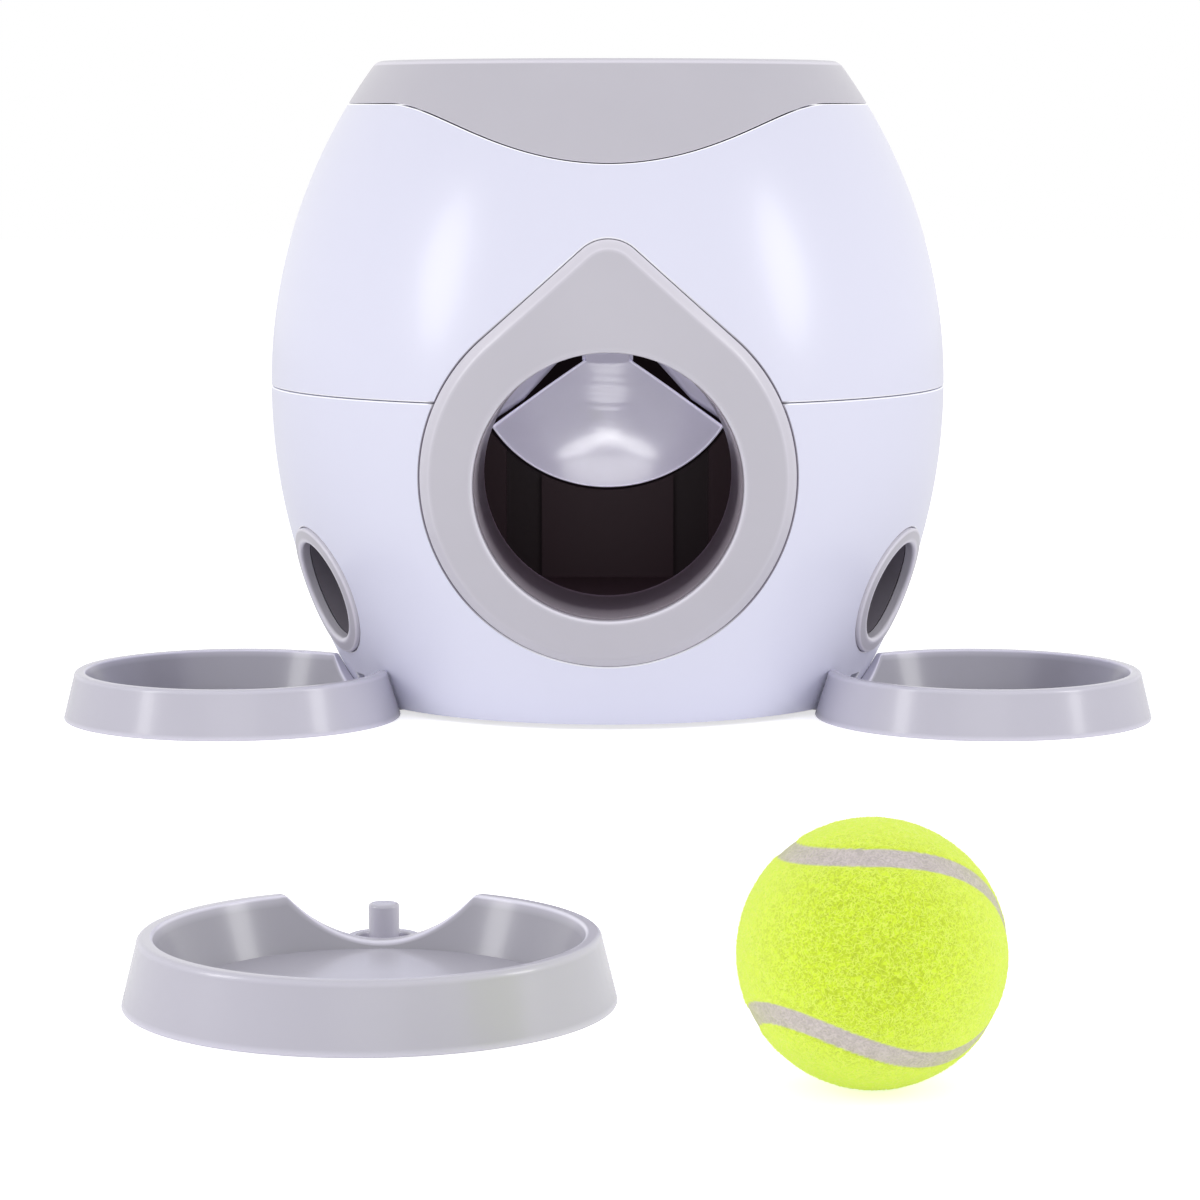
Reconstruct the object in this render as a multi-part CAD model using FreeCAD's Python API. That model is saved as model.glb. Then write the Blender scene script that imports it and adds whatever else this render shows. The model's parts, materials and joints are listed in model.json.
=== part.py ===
"""Ball-drop fetch machine with a bladed rotor and three plug-in treat trays.

Millimetres, +Z up, origin on the floor at the axis of the barrel body. The ball exit faces -Y.
"""
import FreeCAD, Part
import math
import os

V = FreeCAD.Vector
ORIGIN = V(0, 0, 0)
UP = V(0, 0, 1)
ACROSS = V(1, 0, 0)
BACK = V(0, 1, 0)

# Clearances
MOULD_GAP = 0.35          # between moulded covers that meet
RUN_GAP = 0.05            # radial, shaft in a bush
TURN_GAP = 0.35           # radial, moving faces that pass each other
PAST = 1.0                # how far a cutting shape runs past what it cuts
TOUCH = 0.01              # heights closer than this count as one

# Barrel body
BELLY_RADIUS = 133.0
PARTING_HEIGHT = 124.5
TOP_RADIUS = 90.6         # barrel's surface at its top, before the rim is rounded
BASE_RADIUS = 97.3        # barrel's surface at the floor
BODY_TOP = 251.0
BODY_LOW = 1.8
SHELL_WALL = 3.0
SKIRT_WALL = 2.0          # ring of the upper shell that the collar covers
SKIRT_OVERLAP = 16.5      # how far the skirt reaches below the collar's dip

# Collar and its wavy lower edge
COLLAR_WALL = 2.7
COLLAR_DIP_DEPTH = 38.5   # below the body's top
COLLAR_SIDE_DEPTH = 16.5
COLLAR_DIP_HALF_ANGLE = 55.0
RIM_ROUNDING = 5.0
RIM_PLATE = 3.0
RIM_LAND = 10.6           # from the opening to the barrel's surface at the top
LEDGE_WIDTH = 6.0
LEDGE_THICKNESS = 2.5
FLANGE_THICKNESS = 4.4

# Funnel bowl
FUNNEL_WALL = 2.2
THROAT_RADIUS = 35.5
THROAT_INSET = 1.0        # inside the ledge, so that the bowl lifts out
FUNNEL_DEPTH = 45.0       # from the body's top to the throat
THROAT_LENGTH = 7.5

# Ball exit, bezel and sleeve
EXIT_RADIUS = 50.0
EXIT_HEIGHT = 94.0
DROP_RADIUS = 70.0        # lower circle of the teardrop
DROP_HEIGHT = 96.0
DROP_TIP_RADIUS = 14.5
DROP_TIP_HEIGHT = 170.5
BEZEL_PROUD = 0.9
SLEEVE_END_RADIUS = 47.4
SLEEVE_END_DEPTH = 60.0   # forward of the body's axis
SLEEVE_WALL = 2.0
BALL_ROOM = 2.0           # kept clear round a falling ball

# Chamber
CHAMBER_HALF_WIDTH = 51.2
CHAMBER_WALL = 2.5
CHAMBER_FRONT = 85.0
CHAMBER_BACK = 60.0
CHAMBER_FLOOR = 43.0
CHAMBER_TOP_GAP = 0.5     # below the throat
LEG_RADIUS = 4.5
LEG_SPREAD_X = 44.0
LEG_FRONT = 76.0
LEG_BACK = 51.0

# Ramp and riser
RAMP_FRONT_HEIGHT = 46.6
RAMP_BACK_HEIGHT = 48.3
RISER_FACE = 12.0         # forward of the body's axis
RISER_DEPTH = 42.0
RISER_DROP = 8.0          # top of the riser below the rotor's axis
RISER_WALL = 2.5
SLOT_INNER = 26.0
SLOT_OUTER = 40.0
SLOT_DEPTH = 5.0

# Rotor
ROTOR_FORWARD = 5.0
BLADE_COUNT = 3
BLADE_RADIUS = 55.5
BLADE_HALF_ANGLE = 55.0
BLADE_THICKNESS = 1.6
BLADE_DISH_RADIUS = 95.0
BLADE_DISH_CENTRE = 30.0  # how far down the blade its deepest point lies
ROTOR_ROOM = 2.0          # sphere cleared round the blades
THROAT_ROOM = 3.0         # between the throat and the blades
HUB_RADIUS = 6.5
HUB_HALF_WIDTH = 10.0
SHAFT_RADIUS = 3.0
SHAFT_HALF_LENGTH = 90.0
SHAFT_CHAMFER = 0.5
BUSH_RADIUS = 5.5
BUSH_FLANGE_RADIUS = 8.0
BUSH_FLANGE = 1.5
BUSH_LENGTH = 8.0
CLIP_RADIUS = 6.0
CLIP_THICKNESS = 1.2

# Cheeks: cones about the shaft
CHEEK_START = 13.2
CHEEK_KNEE = 33.0
CHEEK_CLEARANCE = 1.4
CHEEK_BORE_RADIUS = 5.0

# Dosing drums, housings, bins and chutes
DRUM_RADIUS = 16.0
DRUM_LENGTH = 22.0
POCKET_RADIUS = 6.0
POCKET_LENGTH = 18.0
HOUSING_WALL = 4.0
HOUSING_END = 2.5
PORT_HALF_WIDTH = 8.0
PORT_LENGTH = 18.0
BIN_WALL = 1.8
BIN_DROP = 4.0            # top of the bins below the throat's top
BIN_OUTER_X = 91.0
BIN_HALF_DEPTH = 45.0
CHUTE_WALL = 1.6
CHUTE_DROP_RADIUS = 14.0
CHUTE_STRAIGHT = 30.0

# Treat outlets
OUTLET_AZIMUTH = 67.0
OUTLET_HEIGHT = 46.7
OUTLET_BORE_RADIUS = 19.7
OUTLET_RING_RADIUS = 25.8
OUTLET_PROUD = 1.2

# Base
BASE_LOW = 4.0
BASE_THICKNESS = 3.0
FOOT_RADIUS = 8.0
FOOT_CHAMFER = 0.65
FOOT_INSET = 12.5         # inside the circle of the base's screws
BASE_BOSS_INSET = 11.0    # boss centre inside the barrel's surface
BASE_BOSS_RADIUS = 4.5
BASE_BOSS_HEIGHT = 16.0
SHELL_BOSS_INSET = 12.0
SHELL_BOSS_RADIUS = 4.5
SHELL_BOSS_LENGTH = 24.0
WEB_THICKNESS = 3.0
SCREW_RADIUS = 1.5
SCREW_GAP = 0.3
SCREW_HEAD_RADIUS = 2.9
SCREW_HEAD_HEIGHT = 1.8
LEG_SCREW_LENGTH = 16.0
BASE_SCREW_LENGTH = 14.0
SHELL_SCREW_LENGTH = 34.0
BOSS_AZIMUTHS = (100.0, 150.0, 210.0, 260.0)
SHELL_SCREW_AZIMUTHS = (40.0, 140.0, 220.0, 320.0)
FOOT_AZIMUTHS = (45.0, 125.0, 235.0, 315.0)

# Trays
TRAY_REACH = 59.0         # tray centre from the notch that meets the body
TRAY_BOTTOM_RADIUS = 64.7
TRAY_TOP_RADIUS = 60.2
TRAY_HEIGHT = 18.4
TRAY_FLOOR_RADIUS = 50.5
TRAY_FLOOR = 2.4
TRAY_INNER_TOP_RADIUS = 56.6
TRAY_RIM_ROUNDING = 1.4
TRAY_BODY_GAP = 0.6
LIP_HEIGHT = 5.0
SCOOP_REACH = 4.0         # how far the rim's scoop is cut in past the floor's edge
HORN_HALF_SPREAD = 26.0
TONGUE_HALF_WIDTH = 10.5
TONGUE_HEIGHT = 3.5
TONGUE_FLOOR = 1.5
TONGUE_BORDER = 3.2
PEG_INSET = 9.5           # peg centre inside the tray's notch
PEG_RADIUS = 4.3
PEG_HEIGHT = 12.6
PEG_CHAMFER = 0.7
PEG_SLOT_GAP = 0.5
TONGUE_ROOM = 0.9
RIB_SETBACK = 59.5        # centre of the ribs' arcs, from the tray's towards the body
RIB_WIDTH = 2.4
RIB_HEIGHT = 1.2
RIBS = ((58.0, 40.0), (90.0, 30.0))   # arc radius, half angle

# Loose pieces on the floor in front
LOOSE_TRAY_X = -63.0
LOOSE_TRAY_Y = -566.0
BALL_X = 61.5
BALL_Y = -660.0
BALL_RADIUS = 32.5
FELT_THICKNESS = 3.0
CORE_WALL = 4.0


def profile_radius(rise, change):
    """Radius of the arc that starts upright and moves in by change over a rise."""
    return (rise ** 2 + change ** 2) / (2 * change)


UPPER_ARC = profile_radius(BODY_TOP - PARTING_HEIGHT, BELLY_RADIUS - TOP_RADIUS)
LOWER_ARC = profile_radius(PARTING_HEIGHT, BELLY_RADIUS - BASE_RADIUS)


def body_radius(z, offset=0.0):
    """Radius of the barrel's surface, moved out by offset, at height z."""
    arc = UPPER_ARC if z > PARTING_HEIGHT else LOWER_ARC
    return BELLY_RADIUS - arc + math.sqrt((arc + offset) ** 2 - (z - PARTING_HEIGHT) ** 2)


# Sizes that follow from those above
COLLAR_DIP_HEIGHT = BODY_TOP - COLLAR_DIP_DEPTH
COLLAR_SIDE_HEIGHT = BODY_TOP - COLLAR_SIDE_DEPTH
SKIRT_LOW = COLLAR_DIP_HEIGHT - SKIRT_OVERLAP
RIM_OPENING_RADIUS = TOP_RADIUS - RIM_LAND
NECK_RADIUS = RIM_OPENING_RADIUS - LEDGE_WIDTH - MOULD_GAP
THROAT_SHIFT = NECK_RADIUS - THROAT_INSET - THROAT_RADIUS - FUNNEL_WALL     # forward of the body's axis
THROAT_TOP = BODY_TOP - FUNNEL_DEPTH
THROAT_LOW = THROAT_TOP - THROAT_LENGTH
CHAMBER_TOP = THROAT_LOW - CHAMBER_TOP_GAP
BIN_TOP = THROAT_TOP - BIN_DROP
ROTOR_HEIGHT = THROAT_LOW - THROAT_ROOM - BLADE_RADIUS
RISER_TOP = ROTOR_HEIGHT - RISER_DROP
SHELL_BOSS_CIRCLE = BELLY_RADIUS - SHELL_BOSS_INSET
BASE_BOSS_CIRCLE = body_radius(BASE_LOW + BASE_THICKNESS) - BASE_BOSS_INSET
TRAY_NOTCH_DISTANCE = body_radius(0, TRAY_BODY_GAP)
PEG_DISTANCE = TRAY_NOTCH_DISTANCE - PEG_INSET
TRAY_DISTANCE = TRAY_NOTCH_DISTANCE + TRAY_REACH     # tray centre from the body's axis
RIB_CENTRE = TRAY_DISTANCE - RIB_SETBACK
FOOT_CIRCLE = BASE_BOSS_CIRCLE - FOOT_INSET


def profile_arc(low, high, offset):
    """Edge along the barrel's profile in the XZ plane, from low to high."""
    points = [V(body_radius(z, offset), 0, z) for z in (low, (low + high) / 2, high)]
    return Part.Arc(*points).toShape()


def barrel(offset, low, high):
    """Solid of revolution inside the barrel's surface moved out by offset."""
    heights = [low] + ([PARTING_HEIGHT] if low < PARTING_HEIGHT < high else []) + [high]
    edges = [profile_arc(a, b, offset) for a, b in zip(heights, heights[1:])]
    top, bottom = V(body_radius(high, offset), 0, high), V(body_radius(low, offset), 0, low)
    edges.append(Part.LineSegment(top, V(0, 0, high)).toShape())
    edges.append(Part.LineSegment(V(0, 0, high), V(0, 0, low)).toShape())
    edges.append(Part.LineSegment(V(0, 0, low), bottom).toShape())
    return Part.Face(Part.Wire(edges)).revolve(ORIGIN, UP, 360)


def turned(shape, azimuth):
    """Copy of a shape made at the front, turned about the body's axis; positive goes to +X."""
    copy = shape.copy()
    copy.rotate(ORIGIN, UP, azimuth)
    return copy


def mirrored(shape):
    """Copy on the other side of the YZ plane."""
    return shape.mirror(ORIGIN, ACROSS)


def box(x0, x1, y0, y1, z0, z1):
    return Part.makeBox(x1 - x0, y1 - y0, z1 - z0, V(x0, y0, z0))


def cylinder(radius, start, end):
    """Round bar from one point to another."""
    along = end.sub(start)
    return Part.makeCylinder(radius, along.Length, start, along)


def cross_cylinder(radius, x0, x1):
    """Round bar on the rotor's axis."""
    return cylinder(radius, V(x0, -ROTOR_FORWARD, ROTOR_HEIGHT), V(x1, -ROTOR_FORWARD, ROTOR_HEIGHT))


def on_circle(radius, azimuth, z):
    """Point at a radius and azimuth (0 at the front, positive to +X)."""
    angle = math.radians(azimuth)
    return V(radius * math.sin(angle), -radius * math.cos(angle), z)


def largest_solid(shape):
    return max(shape.Solids, key=lambda solid: solid.Volume)


def collar_edge_height(angle):
    """Height of the collar's lower edge: a cosine dip at the front and at the back."""
    from_dip = abs((math.degrees(angle) + 90.0) % 180.0 - 90.0)
    share = min(from_dip / COLLAR_DIP_HALF_ANGLE, 1.0)
    return COLLAR_DIP_HEIGHT + (COLLAR_SIDE_HEIGHT - COLLAR_DIP_HEIGHT) * (1 - math.cos(math.pi * share)) / 2


def above_collar_edge(shift):
    """Solid above the wavy edge, moved up by shift."""
    curves = []
    for radius in (BELLY_RADIUS / 2, BELLY_RADIUS + SHELL_WALL):
        points = []
        for degrees in range(0, 360, 5):
            angle = math.radians(degrees)
            height = collar_edge_height(angle) + shift
            points.append(V(radius * math.sin(angle), -radius * math.cos(angle), height))
        curve = Part.BSplineCurve()
        curve.interpolate(Points=points, PeriodicFlag=True)
        curves.append(curve.toShape())
    return Part.makeRuledSurface(*curves).extrude(V(0, 0, BODY_TOP))


def teardrop(growth):
    """Teardrop prism along Y: two circles joined by their common tangents."""
    low, high = DROP_RADIUS + growth, DROP_TIP_RADIUS + growth
    rise = DROP_TIP_HEIGHT - DROP_HEIGHT
    lean = math.asin((low - high) / rise)
    side, up = math.cos(lean), math.sin(lean)
    y = -BELLY_RADIUS - SHELL_WALL
    low_right = V(low * side, y, DROP_HEIGHT + low * up)
    high_right = V(high * side, y, DROP_TIP_HEIGHT + high * up)
    low_left = V(-low_right.x, y, low_right.z)
    high_left = V(-high_right.x, y, high_right.z)
    outline = [
        Part.LineSegment(low_right, high_right).toShape(),
        Part.Arc(high_right, V(0, y, DROP_TIP_HEIGHT + high), high_left).toShape(),
        Part.LineSegment(high_left, low_left).toShape(),
        Part.Arc(low_left, V(0, y, DROP_HEIGHT - low), low_right).toShape(),
    ]
    return Part.Face(Part.Wire(outline)).extrude(V(0, BELLY_RADIUS, 0))


def sleeve_radius(forward):
    """Inner radius of the tapered sleeve at a distance forward of the body's axis."""
    share = (BELLY_RADIUS - forward) / (BELLY_RADIUS - SLEEVE_END_DEPTH)
    return EXIT_RADIUS + (SLEEVE_END_RADIUS - EXIT_RADIUS) * share


def exit_cone(growth, near, far):
    """Cone on the ball exit's axis between two distances forward of the body's axis."""
    return Part.makeCone(sleeve_radius(far) + growth, sleeve_radius(near) + growth, far - near,
                         V(0, -far, EXIT_HEIGHT), BACK)


def outlet_tilt():
    """Downward lean of the surface's normal at the treat outlet, in radians."""
    return math.asin((PARTING_HEIGHT - OUTLET_HEIGHT) / LOWER_ARC)


def outlet_point(inward):
    """Point on the treat outlet's axis, inward of the surface, at the front."""
    tilt = outlet_tilt()
    radius = body_radius(OUTLET_HEIGHT)
    return V(0, -radius + inward * math.cos(tilt), OUTLET_HEIGHT + inward * math.sin(tilt))


def outlet_cylinder(radius, inward):
    """Cylinder on the treat outlet's axis, from outside the body to a depth inward of it."""
    return cylinder(radius, outlet_point(-4 * SHELL_WALL), outlet_point(inward))


def shell_openings():
    """Everything that is cut through both casings."""
    cuts = [teardrop(MOULD_GAP)]
    for azimuth in (OUTLET_AZIMUTH, -OUTLET_AZIMUTH):
        cuts.append(turned(outlet_cylinder(OUTLET_RING_RADIUS + MOULD_GAP, CHUTE_STRAIGHT / 2), azimuth))
    return cuts


def tray_doorway(azimuth):
    """Doorway in the casing's foot for a tray's tongue and peg."""
    half = TONGUE_HALF_WIDTH + TONGUE_ROOM
    peg_half = PEG_RADIUS + PEG_SLOT_GAP
    far = -BELLY_RADIUS
    low = box(-half, half, far, -PEG_DISTANCE, 0, TONGUE_HEIGHT + TONGUE_ROOM)
    high = box(-peg_half, peg_half, far, -PEG_DISTANCE, 0, PEG_HEIGHT + TONGUE_ROOM)
    return turned(low.fuse(high), azimuth)


def screw(foot, length):
    """Pan-head screw pointing up from its head's seat."""
    shank = cylinder(SCREW_RADIUS, foot, foot.add(V(0, 0, length)))
    head = cylinder(SCREW_HEAD_RADIUS, foot.sub(V(0, 0, SCREW_HEAD_HEIGHT)), foot)
    return shank.fuse(head)


def boss(radius, circle, azimuth, low, high):
    """Screw boss with a radial web that joins it to the casing's wall."""
    post = cylinder(radius, V(0, -circle, low), V(0, -circle, high))
    web = box(-WEB_THICKNESS / 2, WEB_THICKNESS / 2, -BELLY_RADIUS, -circle, low, high)
    return turned(post.fuse(web), azimuth).common(barrel(-SHELL_WALL / 2, low, high))


def screw_hole(foot, length):
    """Clearance hole for a screw's shank."""
    below = foot.sub(V(0, 0, BASE_THICKNESS))
    return cylinder(SCREW_RADIUS + SCREW_GAP, below, foot.add(V(0, 0, length + SCREW_GAP)))


def lower_shell():
    top = PARTING_HEIGHT - MOULD_GAP / 2
    inner = barrel(-SHELL_WALL, -PAST, top + PAST)
    wall = barrel(0, BODY_LOW, top).cut(inner)
    seat = BASE_LOW + BASE_THICKNESS
    bosses = [boss(BASE_BOSS_RADIUS, BASE_BOSS_CIRCLE, a, seat, seat + BASE_BOSS_HEIGHT)
              for a in BOSS_AZIMUTHS]
    bosses += [boss(SHELL_BOSS_RADIUS, SHELL_BOSS_CIRCLE, a, top - SHELL_BOSS_LENGTH, top)
               for a in SHELL_SCREW_AZIMUTHS]
    wall = wall.fuse(bosses)
    holes = [screw_hole(on_circle(BASE_BOSS_CIRCLE, a, BASE_LOW), BASE_BOSS_HEIGHT) for a in BOSS_AZIMUTHS]
    for azimuth in SHELL_SCREW_AZIMUTHS:
        foot = on_circle(SHELL_BOSS_CIRCLE, azimuth, top - SHELL_BOSS_LENGTH)
        holes.append(screw_hole(foot, SHELL_BOSS_LENGTH))
    doorways = [tray_doorway(azimuth) for azimuth in (OUTLET_AZIMUTH, -OUTLET_AZIMUTH)]
    return largest_solid(wall.cut(shell_openings() + doorways + holes))


def upper_shell():
    low = PARTING_HEIGHT + MOULD_GAP / 2
    skirt_top = BODY_TOP - RIM_PLATE - MOULD_GAP
    wall = barrel(0, low, skirt_top).cut(barrel(-SHELL_WALL, low - PAST, BODY_TOP))
    wall = wall.cut(above_collar_edge(-MOULD_GAP))
    skirt = barrel(-COLLAR_WALL - MOULD_GAP, SKIRT_LOW, skirt_top)
    skirt = skirt.cut(barrel(-COLLAR_WALL - MOULD_GAP - SKIRT_WALL, SKIRT_LOW - PAST, BODY_TOP))
    bosses = [boss(SHELL_BOSS_RADIUS, SHELL_BOSS_CIRCLE, a, low, low + SHELL_BOSS_LENGTH)
              for a in SHELL_SCREW_AZIMUTHS]
    wall = wall.fuse([skirt] + bosses)
    holes = [screw_hole(on_circle(SHELL_BOSS_CIRCLE, a, low), SHELL_SCREW_LENGTH - SHELL_BOSS_LENGTH)
             for a in SHELL_SCREW_AZIMUTHS]
    return largest_solid(wall.cut(shell_openings() + holes))


def top_collar():
    low = COLLAR_DIP_HEIGHT - 2 * SHELL_WALL
    outer = barrel(0, low, BODY_TOP)
    rim = [edge for edge in outer.Edges if abs(edge.BoundBox.ZMin - BODY_TOP) < TOUCH
           and edge.BoundBox.XLength > RIM_OPENING_RADIUS]
    outer = outer.makeFillet(RIM_ROUNDING, rim)
    hollow = barrel(-COLLAR_WALL, low - PAST, BODY_TOP - RIM_PLATE)
    opening = cylinder(RIM_OPENING_RADIUS, V(0, 0, low), V(0, 0, BODY_TOP + PAST))
    collar = outer.cut([hollow, opening]).common(above_collar_edge(0))
    ledge_top = BODY_TOP - FLANGE_THICKNESS - MOULD_GAP
    outer_ledge = RIM_OPENING_RADIUS + RIM_PLATE
    ledge = cylinder(outer_ledge, V(0, 0, ledge_top - LEDGE_THICKNESS), V(0, 0, BODY_TOP - RIM_PLATE))
    ledge = ledge.cut(cylinder(RIM_OPENING_RADIUS, V(0, 0, ledge_top), V(0, 0, BODY_TOP)))
    ledge = ledge.cut(cylinder(RIM_OPENING_RADIUS - LEDGE_WIDTH, V(0, 0, 0), V(0, 0, BODY_TOP)))
    return largest_solid(collar.fuse(ledge))


def offset_cone(top_radius, low_radius, top, low):
    """Cone from a level circle on the body's axis to one round the throat."""
    circles = [Part.Wire(Part.makeCircle(top_radius, V(0, 0, top))),
               Part.Wire(Part.makeCircle(low_radius, V(0, -THROAT_SHIFT, low)))]
    return Part.makeLoft(circles, True, True)


def funnel_bowl():
    flange_low = BODY_TOP - FLANGE_THICKNESS
    rim_radius = RIM_OPENING_RADIUS - MOULD_GAP
    flange = cylinder(rim_radius, V(0, 0, flange_low), V(0, 0, BODY_TOP - MOULD_GAP))
    outer_throat = THROAT_RADIUS + FUNNEL_WALL
    cone = offset_cone(NECK_RADIUS, outer_throat, flange_low, THROAT_TOP - FUNNEL_WALL)
    low, high = V(0, -THROAT_SHIFT, THROAT_LOW), V(0, -THROAT_SHIFT, THROAT_TOP)
    throat = cylinder(outer_throat, low, high)
    inner_top = NECK_RADIUS + LEDGE_WIDTH / 2
    inner = offset_cone(inner_top, THROAT_RADIUS, BODY_TOP, THROAT_TOP)
    bore = cylinder(THROAT_RADIUS, low.sub(UP), high.add(UP))
    return largest_solid(flange.fuse([cone, throat]).cut([inner, bore]).removeSplitter())


def front_bezel():
    plate = barrel(BEZEL_PROUD, BODY_LOW, BODY_TOP - RIM_PLATE).cut(barrel(-SHELL_WALL, 0, BODY_TOP - PAST))
    hole = cylinder(EXIT_RADIUS, V(0, -2 * BELLY_RADIUS, EXIT_HEIGHT), V(0, 0, EXIT_HEIGHT))
    return largest_solid(plate.common(teardrop(0)).cut(hole))


def outlet_sleeve():
    outer = exit_cone(SLEEVE_WALL, SLEEVE_END_DEPTH, BELLY_RADIUS)
    inner = exit_cone(0, SLEEVE_END_DEPTH - PAST, BELLY_RADIUS + PAST)
    path_forward = CHAMBER_FRONT - BALL_RADIUS - BALL_ROOM / 2
    path_low, path_high = V(0, -path_forward, EXIT_HEIGHT), V(0, -path_forward, THROAT_LOW)
    ball_path = cylinder(BALL_RADIUS + BALL_ROOM, path_low, path_high)
    tube = outer.cut([inner, ball_path]).common(barrel(-SHELL_WALL - MOULD_GAP, BODY_LOW, THROAT_LOW))
    return largest_solid(tube)


def chamber_legs():
    """Feet of the chamber's four legs."""
    seat = BASE_LOW + BASE_THICKNESS
    return [V(x, y, seat) for x in (-LEG_SPREAD_X, LEG_SPREAD_X) for y in (-LEG_FRONT, LEG_BACK)]


def ball_chamber():
    half, wall = CHAMBER_HALF_WIDTH, CHAMBER_WALL
    outer = box(-half - wall, half + wall, -CHAMBER_FRONT - wall, CHAMBER_BACK + wall,
                CHAMBER_FLOOR - wall, CHAMBER_TOP)
    inner = box(-half, half, -CHAMBER_FRONT, CHAMBER_BACK, CHAMBER_FLOOR, CHAMBER_TOP + PAST)
    legs = [cylinder(LEG_RADIUS, foot, V(foot.x, foot.y, CHAMBER_FLOOR)) for foot in chamber_legs()]
    holes = [screw_hole(foot.sub(V(0, 0, BASE_THICKNESS)), LEG_SCREW_LENGTH) for foot in chamber_legs()]
    sleeve_hole = exit_cone(SLEEVE_WALL + MOULD_GAP, CHAMBER_FRONT - wall, CHAMBER_FRONT + 2 * wall)
    shaft_hole = cross_cylinder(BUSH_RADIUS + RUN_GAP, -half - 2 * wall, half + 2 * wall)
    return largest_solid(outer.cut([inner, sleeve_hole, shaft_hole]).fuse(legs).cut(holes))


def ball_ramp():
    half = CHAMBER_HALF_WIDTH - MOULD_GAP
    low = CHAMBER_FLOOR
    front, face = -SLEEVE_END_DEPTH + MOULD_GAP, -RISER_FACE
    slope = [V(-half, front, low), V(-half, face + RISER_WALL, low),
             V(-half, face + RISER_WALL, RAMP_BACK_HEIGHT), V(-half, front, RAMP_FRONT_HEIGHT)]
    ramp = Part.Face(Part.makePolygon(slope + slope[:1])).extrude(V(2 * half, 0, 0))
    back = face + RISER_DEPTH
    riser = box(-half, half, face, back, low, RISER_TOP)
    trough = BLADE_RADIUS + ROTOR_ROOM
    centre = V(0, -ROTOR_FORWARD, ROTOR_HEIGHT)
    hollow = box(-half + RISER_WALL, half - RISER_WALL, face + RISER_WALL + SLOT_DEPTH, back - RISER_WALL,
                 low, RISER_TOP)
    hollow = hollow.cut(Part.makeSphere(trough + RISER_WALL, centre))
    cuts = [Part.makeSphere(trough, centre), hollow]
    for side in (-1, 1):
        inner, outer = sorted((side * SLOT_INNER, side * SLOT_OUTER))
        cuts.append(box(inner, outer, face - PAST, face + SLOT_DEPTH, RAMP_BACK_HEIGHT, RISER_TOP))
        cheek_room = revolved_cheek(CHEEK_CLEARANCE)
        cuts.append(cheek_room if side > 0 else mirrored(cheek_room))
    return largest_solid(ramp.fuse(riser.cut(cuts)))


def revolved_cheek(growth):
    """Cone about the rotor's axis on the +X side that stays outside the space the blades sweep."""
    slope = math.tan(math.radians(90 - BLADE_HALF_ANGLE))
    end = CHAMBER_HALF_WIDTH - MOULD_GAP
    knee_radius = CHEEK_KNEE * slope - CHEEK_CLEARANCE + growth
    end_radius = end * slope - CHEEK_CLEARANCE + growth
    outline = [(CHEEK_START - growth, 0), (CHEEK_KNEE - growth, knee_radius), (end, end_radius), (end, 0)]
    points = [V(x, -ROTOR_FORWARD, ROTOR_HEIGHT - radius) for x, radius in outline]
    face = Part.Face(Part.makePolygon(points + points[:1]))
    return face.revolve(V(0, -ROTOR_FORWARD, ROTOR_HEIGHT), ACROSS, 360)


def cheek():
    bore = cross_cylinder(CHEEK_BORE_RADIUS, 0, CHAMBER_HALF_WIDTH)
    bush_seat = cross_cylinder(BUSH_FLANGE_RADIUS + MOULD_GAP, CHAMBER_HALF_WIDTH - BUSH_FLANGE - MOULD_GAP,
                               CHAMBER_HALF_WIDTH)
    return revolved_cheek(0).cut([bore, bush_seat])


def shaft_bush():
    start = CHAMBER_HALF_WIDTH - BUSH_FLANGE
    flange = cross_cylinder(BUSH_FLANGE_RADIUS, start, CHAMBER_HALF_WIDTH)
    barrel_part = cross_cylinder(BUSH_RADIUS, start, start + BUSH_LENGTH)
    bore = cross_cylinder(SHAFT_RADIUS + RUN_GAP, start - PAST, start + BUSH_LENGTH + PAST)
    return flange.fuse(barrel_part).cut(bore)


def rotor_hub():
    hub = cross_cylinder(HUB_RADIUS, -HUB_HALF_WIDTH, HUB_HALF_WIDTH)
    return hub.cut(cross_cylinder(SHAFT_RADIUS, -HUB_HALF_WIDTH - PAST, HUB_HALF_WIDTH + PAST))


def rotor_blade(turn):
    """Dished fan blade: a spherical skin trimmed to a sector and turned about the rotor's axis."""
    middle = V(0, -ROTOR_FORWARD, ROTOR_HEIGHT)
    dish_centre = middle.add(V(0, BLADE_THICKNESS - BLADE_DISH_RADIUS, -BLADE_DISH_CENTRE))
    skin = Part.makeSphere(BLADE_DISH_RADIUS, dish_centre).cut(
        Part.makeSphere(BLADE_DISH_RADIUS - BLADE_THICKNESS, dish_centre))
    reach = 2 * BLADE_RADIUS
    spread = reach * math.tan(math.radians(BLADE_HALF_ANGLE))
    front = middle.sub(V(0, BLADE_RADIUS, 0))
    corners = [front, front.add(V(-spread, 0, -reach)), front.add(V(spread, 0, -reach))]
    sector = Part.Face(Part.makePolygon(corners + corners[:1])).extrude(V(0, 2 * BLADE_RADIUS, 0))
    blade = skin.common(sector).common(Part.makeSphere(BLADE_RADIUS, middle))
    blade = largest_solid(blade.cut(cross_cylinder(HUB_RADIUS, -BLADE_RADIUS, BLADE_RADIUS)))
    blade.rotate(middle, ACROSS, turn)
    return blade


def shaft_clips():
    """Retaining rings outside the two drum housings."""
    _, _, end = housing_span()
    start = end + MOULD_GAP
    ring = cross_cylinder(CLIP_RADIUS, start, start + CLIP_THICKNESS)
    ring = ring.cut(cross_cylinder(SHAFT_RADIUS, start - PAST, start + CLIP_THICKNESS + PAST))
    return Part.Compound([ring, mirrored(ring)])


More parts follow.
